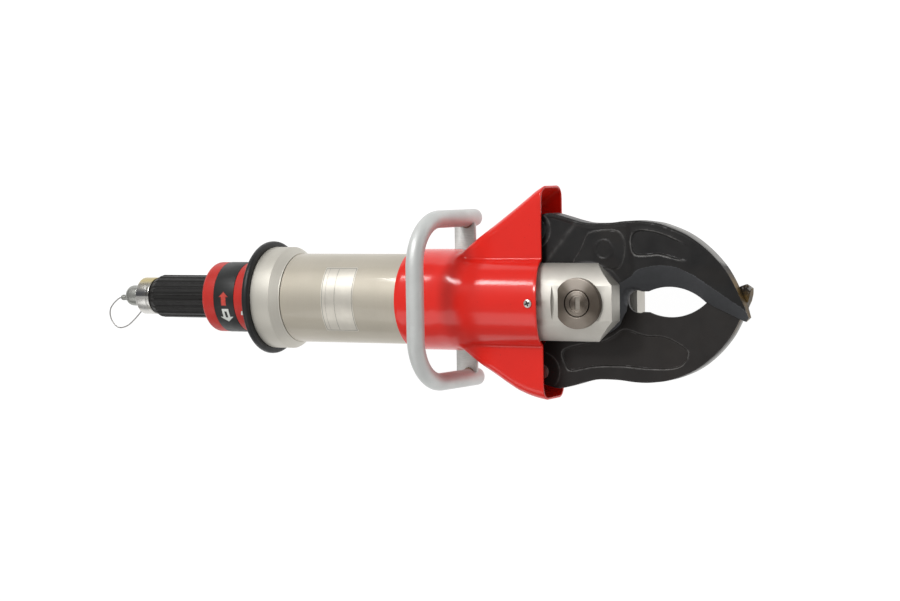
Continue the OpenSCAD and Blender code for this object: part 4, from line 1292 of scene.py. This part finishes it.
# ------------------------------------------------------------------ shield screws: domed heads with a cross recess
def screw(sign, name):
    n = 96
    rows = [(32, 0), (32, 2.2), (32.6, 2.5), (57.9, 2.5), (58.02, 4.5), (58.5, 4.6), (59.0, 4.45), (59.5, 4.0), (59.85, 3.2), (60.0, 2.2), (60.05, 1.2), (60.07, 0)]
    verts, rings, faces = [], [], []

    def z_of(x, y, z):
        if z > 58.6:
            d = min(max(abs(x) - 0.6, abs(y) - 2.7), max(abs(y) - 0.6, abs(x) - 2.7))
            if d < 0.25:
                return z - 1.3 * min(1.0, (0.25 - d) / 0.35)
        return z

    rr = rows[:8] + [(z, r) for z, r in [(59.55, 3.7), (59.7, 3.5), (59.78, 3.3), (59.86, 3.1), (59.9, 2.9), (59.94, 2.6), (59.98, 2.3), (60.0, 2.0), (60.02, 1.7), (60.04, 1.4), (60.05, 1.1), (60.06, 0.8), (60.065, 0.5), (60.07, 0.25)]] + [(60.07, 0)]
    for z, r in rr:
        if r == 0:
            rings.append([len(verts)])
            verts.append((0, 0, z_of(0, 0, z)))
            continue
        rings.append([len(verts) + k for k in range(n)])
        for k in range(n):
            a = 2 * math.pi * k / n
            x, y = r * math.cos(a), r * math.sin(a)
            verts.append((x, y, z_of(x, y, z)))
    for A, B in zip(rings, rings[1:]):
        for k in range(n):
            k2 = (k + 1) % n
            if len(A) == 1:
                faces.append((A[0], B[k2], B[k]))
            elif len(B) == 1:
                faces.append((A[k], A[k2], B[0]))
            else:
                faces.append((A[k], A[k2], B[k2], B[k]))
    c, s = math.cos(math.radians(18)), math.sin(math.radians(18))
    verts = [(-52.5 + x * c - y * s, (x * s + y * c) * sign, z * sign) for x, y, z in verts]
    o = make(name, verts, faces, "frame_body", [M_SCREW, M_PAINTED_SHADE], ("shield_screws",), 40)
    # painted shade: the rim under the head and the floor of the cross recess take the dark gap material
    for q in o.data.polygons:
        c = q.center
        h = abs(c.z - AXIS) / MM
        if h < 58.45 or (math.hypot(c.x + 0.0525, c.y) < 0.0033 and h < 59.25):
            q.material_index = 1
    return o


screw(1, "shield_screw_near")
screw(-1, "shield_screw_far")

# ------------------------------------------------------------------ carrying handle: bent tube with closed ends, welded bars
H_LEAN = math.radians(-4)


def in_handle(x, y, z):
    v = Vector((x, y, z))
    v = Matrix.Rotation(H_LEAN, 3, "Y") @ v
    return (v.x - 153.0, v.y + 2.0, v.z)


def handle():
    LEG, TOP, R, TUBE = 87.5, 108.0, 50.0, 9.5
    path, rad = [], []
    ends = [(-18.9, 5.0), (-18.6, 7.1), (-17.8, 8.4), (-16.4, 9.2), (-14.6, TUBE)]
    for z, r in ends:
        path.append((0, LEG, z))
        rad.append(r)
    for z in np.linspace(-8, TOP - R, 14):
        path.append((0, LEG, float(z)))
        rad.append(TUBE)
    for a in range(5, 91, 5):
        # bending flattens the tube a little
        path.append((0, LEG - R + R * math.cos(math.radians(a)), TOP - R + R * math.sin(math.radians(a))))
        rad.append(TUBE - 0.22 * math.sin(math.radians(2 * a)))
    for y in np.linspace(LEG - R - 4, -(LEG - R) + 4, 16):
        path.append((0, float(y), TOP))
        rad.append(TUBE)
    for a in range(90, -1, -5):
        path.append((0, -(LEG - R + R * math.cos(math.radians(a))), TOP - R + R * math.sin(math.radians(a))))
        rad.append(TUBE - 0.22 * math.sin(math.radians(2 * a)))
    for z in list(np.linspace(TOP - R, -8, 14))[1:]:
        path.append((0, -LEG, float(z)))
        rad.append(TUBE)
    for z, r in reversed(ends):
        path.append((0, -LEG, z))
        rad.append(r)
    v, f = sweep_data(path, rad, 40, True, Vector((1, 0, 0)))
    make("handle_bow", [in_handle(*q) for q in v], f, "frame_body", M_HANDLE, ("handle_tube",), 40)
    # weld beads where the bars meet the legs
    for s in (1, -1):
        for side in (1, -1):
            bead = []
            for i in range(27):
                x = -12.0 + 24.0 * i / 26
                # along the bar's face beside the tube
                yy = LEG - math.sqrt(max(TUBE ** 2 - min(9.1, abs(x)) ** 2, 4.0)) - 0.2
                bead.append((x * 0.72, s * yy, side * 2.3))
            rr = [1.5 + 0.28 * math.sin(i * 2.1) + (0.0 if 1 < i < 25 else -0.6) for i in range(27)]
            bv, bf = sweep_data(bead, rr, 10, True, Vector((0, 0, 1)))
            make("weld_%s_%s" % ("a" if s > 0 else "b", "up" if side > 0 else "dn"), [in_handle(*q) for q in bv], bf, "frame_body", M_WELD, (), 60)


handle()


# ------------------------------------------------------------------ CAD nodes that stay: finish and softened edges
def angle_group():
    g = bpy.data.node_groups.new("smooth_by_angle", "GeometryNodeTree")
    g.interface.new_socket("Geometry", in_out="INPUT", socket_type="NodeSocketGeometry")
    g.interface.new_socket("Geometry", in_out="OUTPUT", socket_type="NodeSocketGeometry")
    i = g.nodes.new("NodeGroupInput")
    o = g.nodes.new("NodeGroupOutput")
    ea = g.nodes.new("GeometryNodeInputMeshEdgeAngle")
    cmp = g.nodes.new("FunctionNodeCompare")
    cmp.data_type = "FLOAT"
    cmp.operation = "LESS_THAN"
    cmp.inputs[1].default_value = math.radians(30)
    s1 = g.nodes.new("GeometryNodeSetShadeSmooth")
    s1.domain = "FACE"
    s2 = g.nodes.new("GeometryNodeSetShadeSmooth")
    s2.domain = "EDGE"
    g.links.new(ea.outputs["Unsigned Angle"], cmp.inputs[0])
    g.links.new(i.outputs[0], s1.inputs[0])
    g.links.new(s1.outputs[0], s2.inputs[0])
    g.links.new(cmp.outputs[0], s2.inputs["Shade Smooth"])
    g.links.new(s2.outputs[0], o.inputs[0])
    return g


SMOOTH = angle_group()


def keep(node, mat, bevel=0.0, seg=2):
    o = NODES[node]
    o.data.materials.clear()
    o.data.materials.append(mat)
    for p in o.data.polygons:
        p.material_index = 0
        p.use_smooth = True
    if bevel:
        mod(o, "WELD", merge_threshold=2e-6)
        mod(o, "BEVEL", width=bevel * MM, segments=seg, limit_method="ANGLE", angle_limit=math.radians(28), harden_normals=False)
        m = o.modifiers.new("smooth", "NODES")
        m.node_group = SMOOTH


keep("fork", M_FORK, 0.9, 3)


def mill_radius(name, side):
    """The radius that the cutter leaves at the step behind a milled flat."""
    verts, faces = [], []
    n = 44
    sec = ((0.0, 0.97), (0.09, 0.70), (0.22, 0.42), (0.40, 0.18), (0.66, 0.02))
    for i in range(n + 1):
        y = -17.9 + 35.8 * i / n
        h = math.sqrt(47.5 ** 2 - y * y) - 43.8
        row = [(-31.3, y, 43.5), (-31.3, y, 43.8 + 0.97 * h)] + [(-31.0 + a * h, y, 43.8 + b * h) for a, b in sec] + [(-31.0 + 0.66 * h, y, 43.5)]
        verts += [(a, b * side, c * side) for a, b, c in row]
    m = 8
    for i in range(n):
        for k in range(m):
            k2 = (k + 1) % m
            faces.append((i * m + k, i * m + k2, (i + 1) * m + k2, (i + 1) * m + k))
    faces.append(tuple(range(m - 1, -1, -1)))
    faces.append(tuple(n * m + k for k in range(m)))
    return make(name, verts, faces, "frame_body", M_FORK, (), 40)


mill_radius("mill_radius_top", 1)
mill_radius("mill_radius_bottom", -1)
keep("handle_bracket", M_BAR, 0.4, 2)
keep("rod_bush", M_BRONZE)
keep("rod_seal", M_RUBBER)
keep("rod_wiper", M_RUBBER)
keep("transfer_tube", M_STEEL)
keep("piston", M_BRONZE)
keep("piston_seal", M_RUBBER)
keep("piston_nut", M_STEEL, 0.3)
keep("piston_rod", M_STEEL)
keep("crosshead", M_STEEL, 0.5)
keep("crosshead_pin", M_STEEL, 0.6)
keep("link_upper", M_STEEL, 0.5)
keep("link_lower", M_STEEL, 0.5)
keep("tail_pin_upper", M_STEEL, 0.5)
keep("tail_pin_lower", M_STEEL, 0.5)
keep("shield_spacers", M_RUBBER, 0.3)
keep("bracket_screws", M_STEEL, 0.2)
keep("valve_body", M_STEEL, 0.4)
keep("valve_rotor", M_BRONZE)
keep("ring_dogs", M_STEEL)
keep("return_spring", M_STEEL)
keep("coupling_poppet", M_BRONZE)

coil_path = [(-558 + 8.5 * k / 112, 4.8 * math.cos(2 * math.pi * k / 28), 4.8 * math.sin(2 * math.pi * k / 28)) for k in range(113)]
cv, cf = sweep_data(coil_path, 0.46, 12, True, Vector((1, 0, 0)))
poppet_coil = make("poppet_coil", cv, cf, None, M_STEEL, ("poppet_spring",), 60)
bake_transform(poppet_coil)
keep("plug_seal", M_RUBBER)

# ------------------------------------------------------------------ floor, light
fm = bpy.data.meshes.new("floor")
fm.from_pydata([(-6, -6, -0.0002), (6, -6, -0.0002), (6, 6, -0.0002), (-6, 6, -0.0002)], [], [(0, 1, 2, 3)])
floor = bpy.data.objects.new("floor", fm)
scene.collection.objects.link(floor)
fn = Net("floor_white")
fn.set(Base_Color=(0.10, 0.10, 0.10), Roughness=0.9, Emission_Color=(1.0, 1.0, 1.0), Emission_Strength=0.97)
fm.materials.append(fn.mat)

world = bpy.data.worlds.new("studio")
scene.world = world
world.use_nodes = True
bg = world.node_tree.nodes["Background"]
# a studio: light overhead, darker towards the horizon
wt = world.node_tree
tc = wt.nodes.new("ShaderNodeTexCoord")
sp = wt.nodes.new("ShaderNodeSeparateXYZ")
mr = wt.nodes.new("ShaderNodeMapRange")
mr.interpolation_type = "SMOOTHSTEP"
for k, v in (("From Min", 0.02), ("From Max", 0.85), ("To Min", 0.30), ("To Max", 0.52)):
    mr.inputs[k].default_value = v
wt.links.new(tc.outputs["Generated"], sp.inputs[0])
wt.links.new(sp.outputs[2], mr.inputs["Value"])
wt.links.new(mr.outputs[0], bg.inputs["Strength"])
bg.inputs["Color"].default_value = (1.0, 0.995, 0.985, 1.0)


def softbox(name, direction, dist, sx, sy, watts, aim=(-0.2, 0.0, AXIS), color=(1, 1, 1)):
    l = bpy.data.lights.new(name, "AREA")
    l.shape = "RECTANGLE"
    l.size, l.size_y = sx, sy
    l.energy = watts
    l.color = color
    o = bpy.data.objects.new(name, l)
    scene.collection.objects.link(o)
    d = Vector(direction).normalized()
    o.location = Vector(aim) + d * dist
    o.rotation_euler = d.to_track_quat("Z", "Y").to_euler()
    return o


softbox("strip", (-0.469, 0.680, 0.563), 2.4, 0.22, 0.40, 7.0, aim=(-0.070, 0.0, AXIS))
softbox("key", (-0.16, 0.58, 0.80), 2.4, 0.50, 0.50, 27)
softbox("fill", (0.6, -0.70, 0.50), 2.6, 1.6, 1.2, 2.5)
softbox("fill_low", (-0.40, -0.62, 0.66), 2.6, 1.8, 1.2, 9)
softbox("top", (0.5, 0.35, 1.0), 3.0, 2.6, 1.6, 4)

scene.view_settings.view_transform = "Standard"
scene.view_settings.look = "None"
scene.view_settings.exposure = 0.0
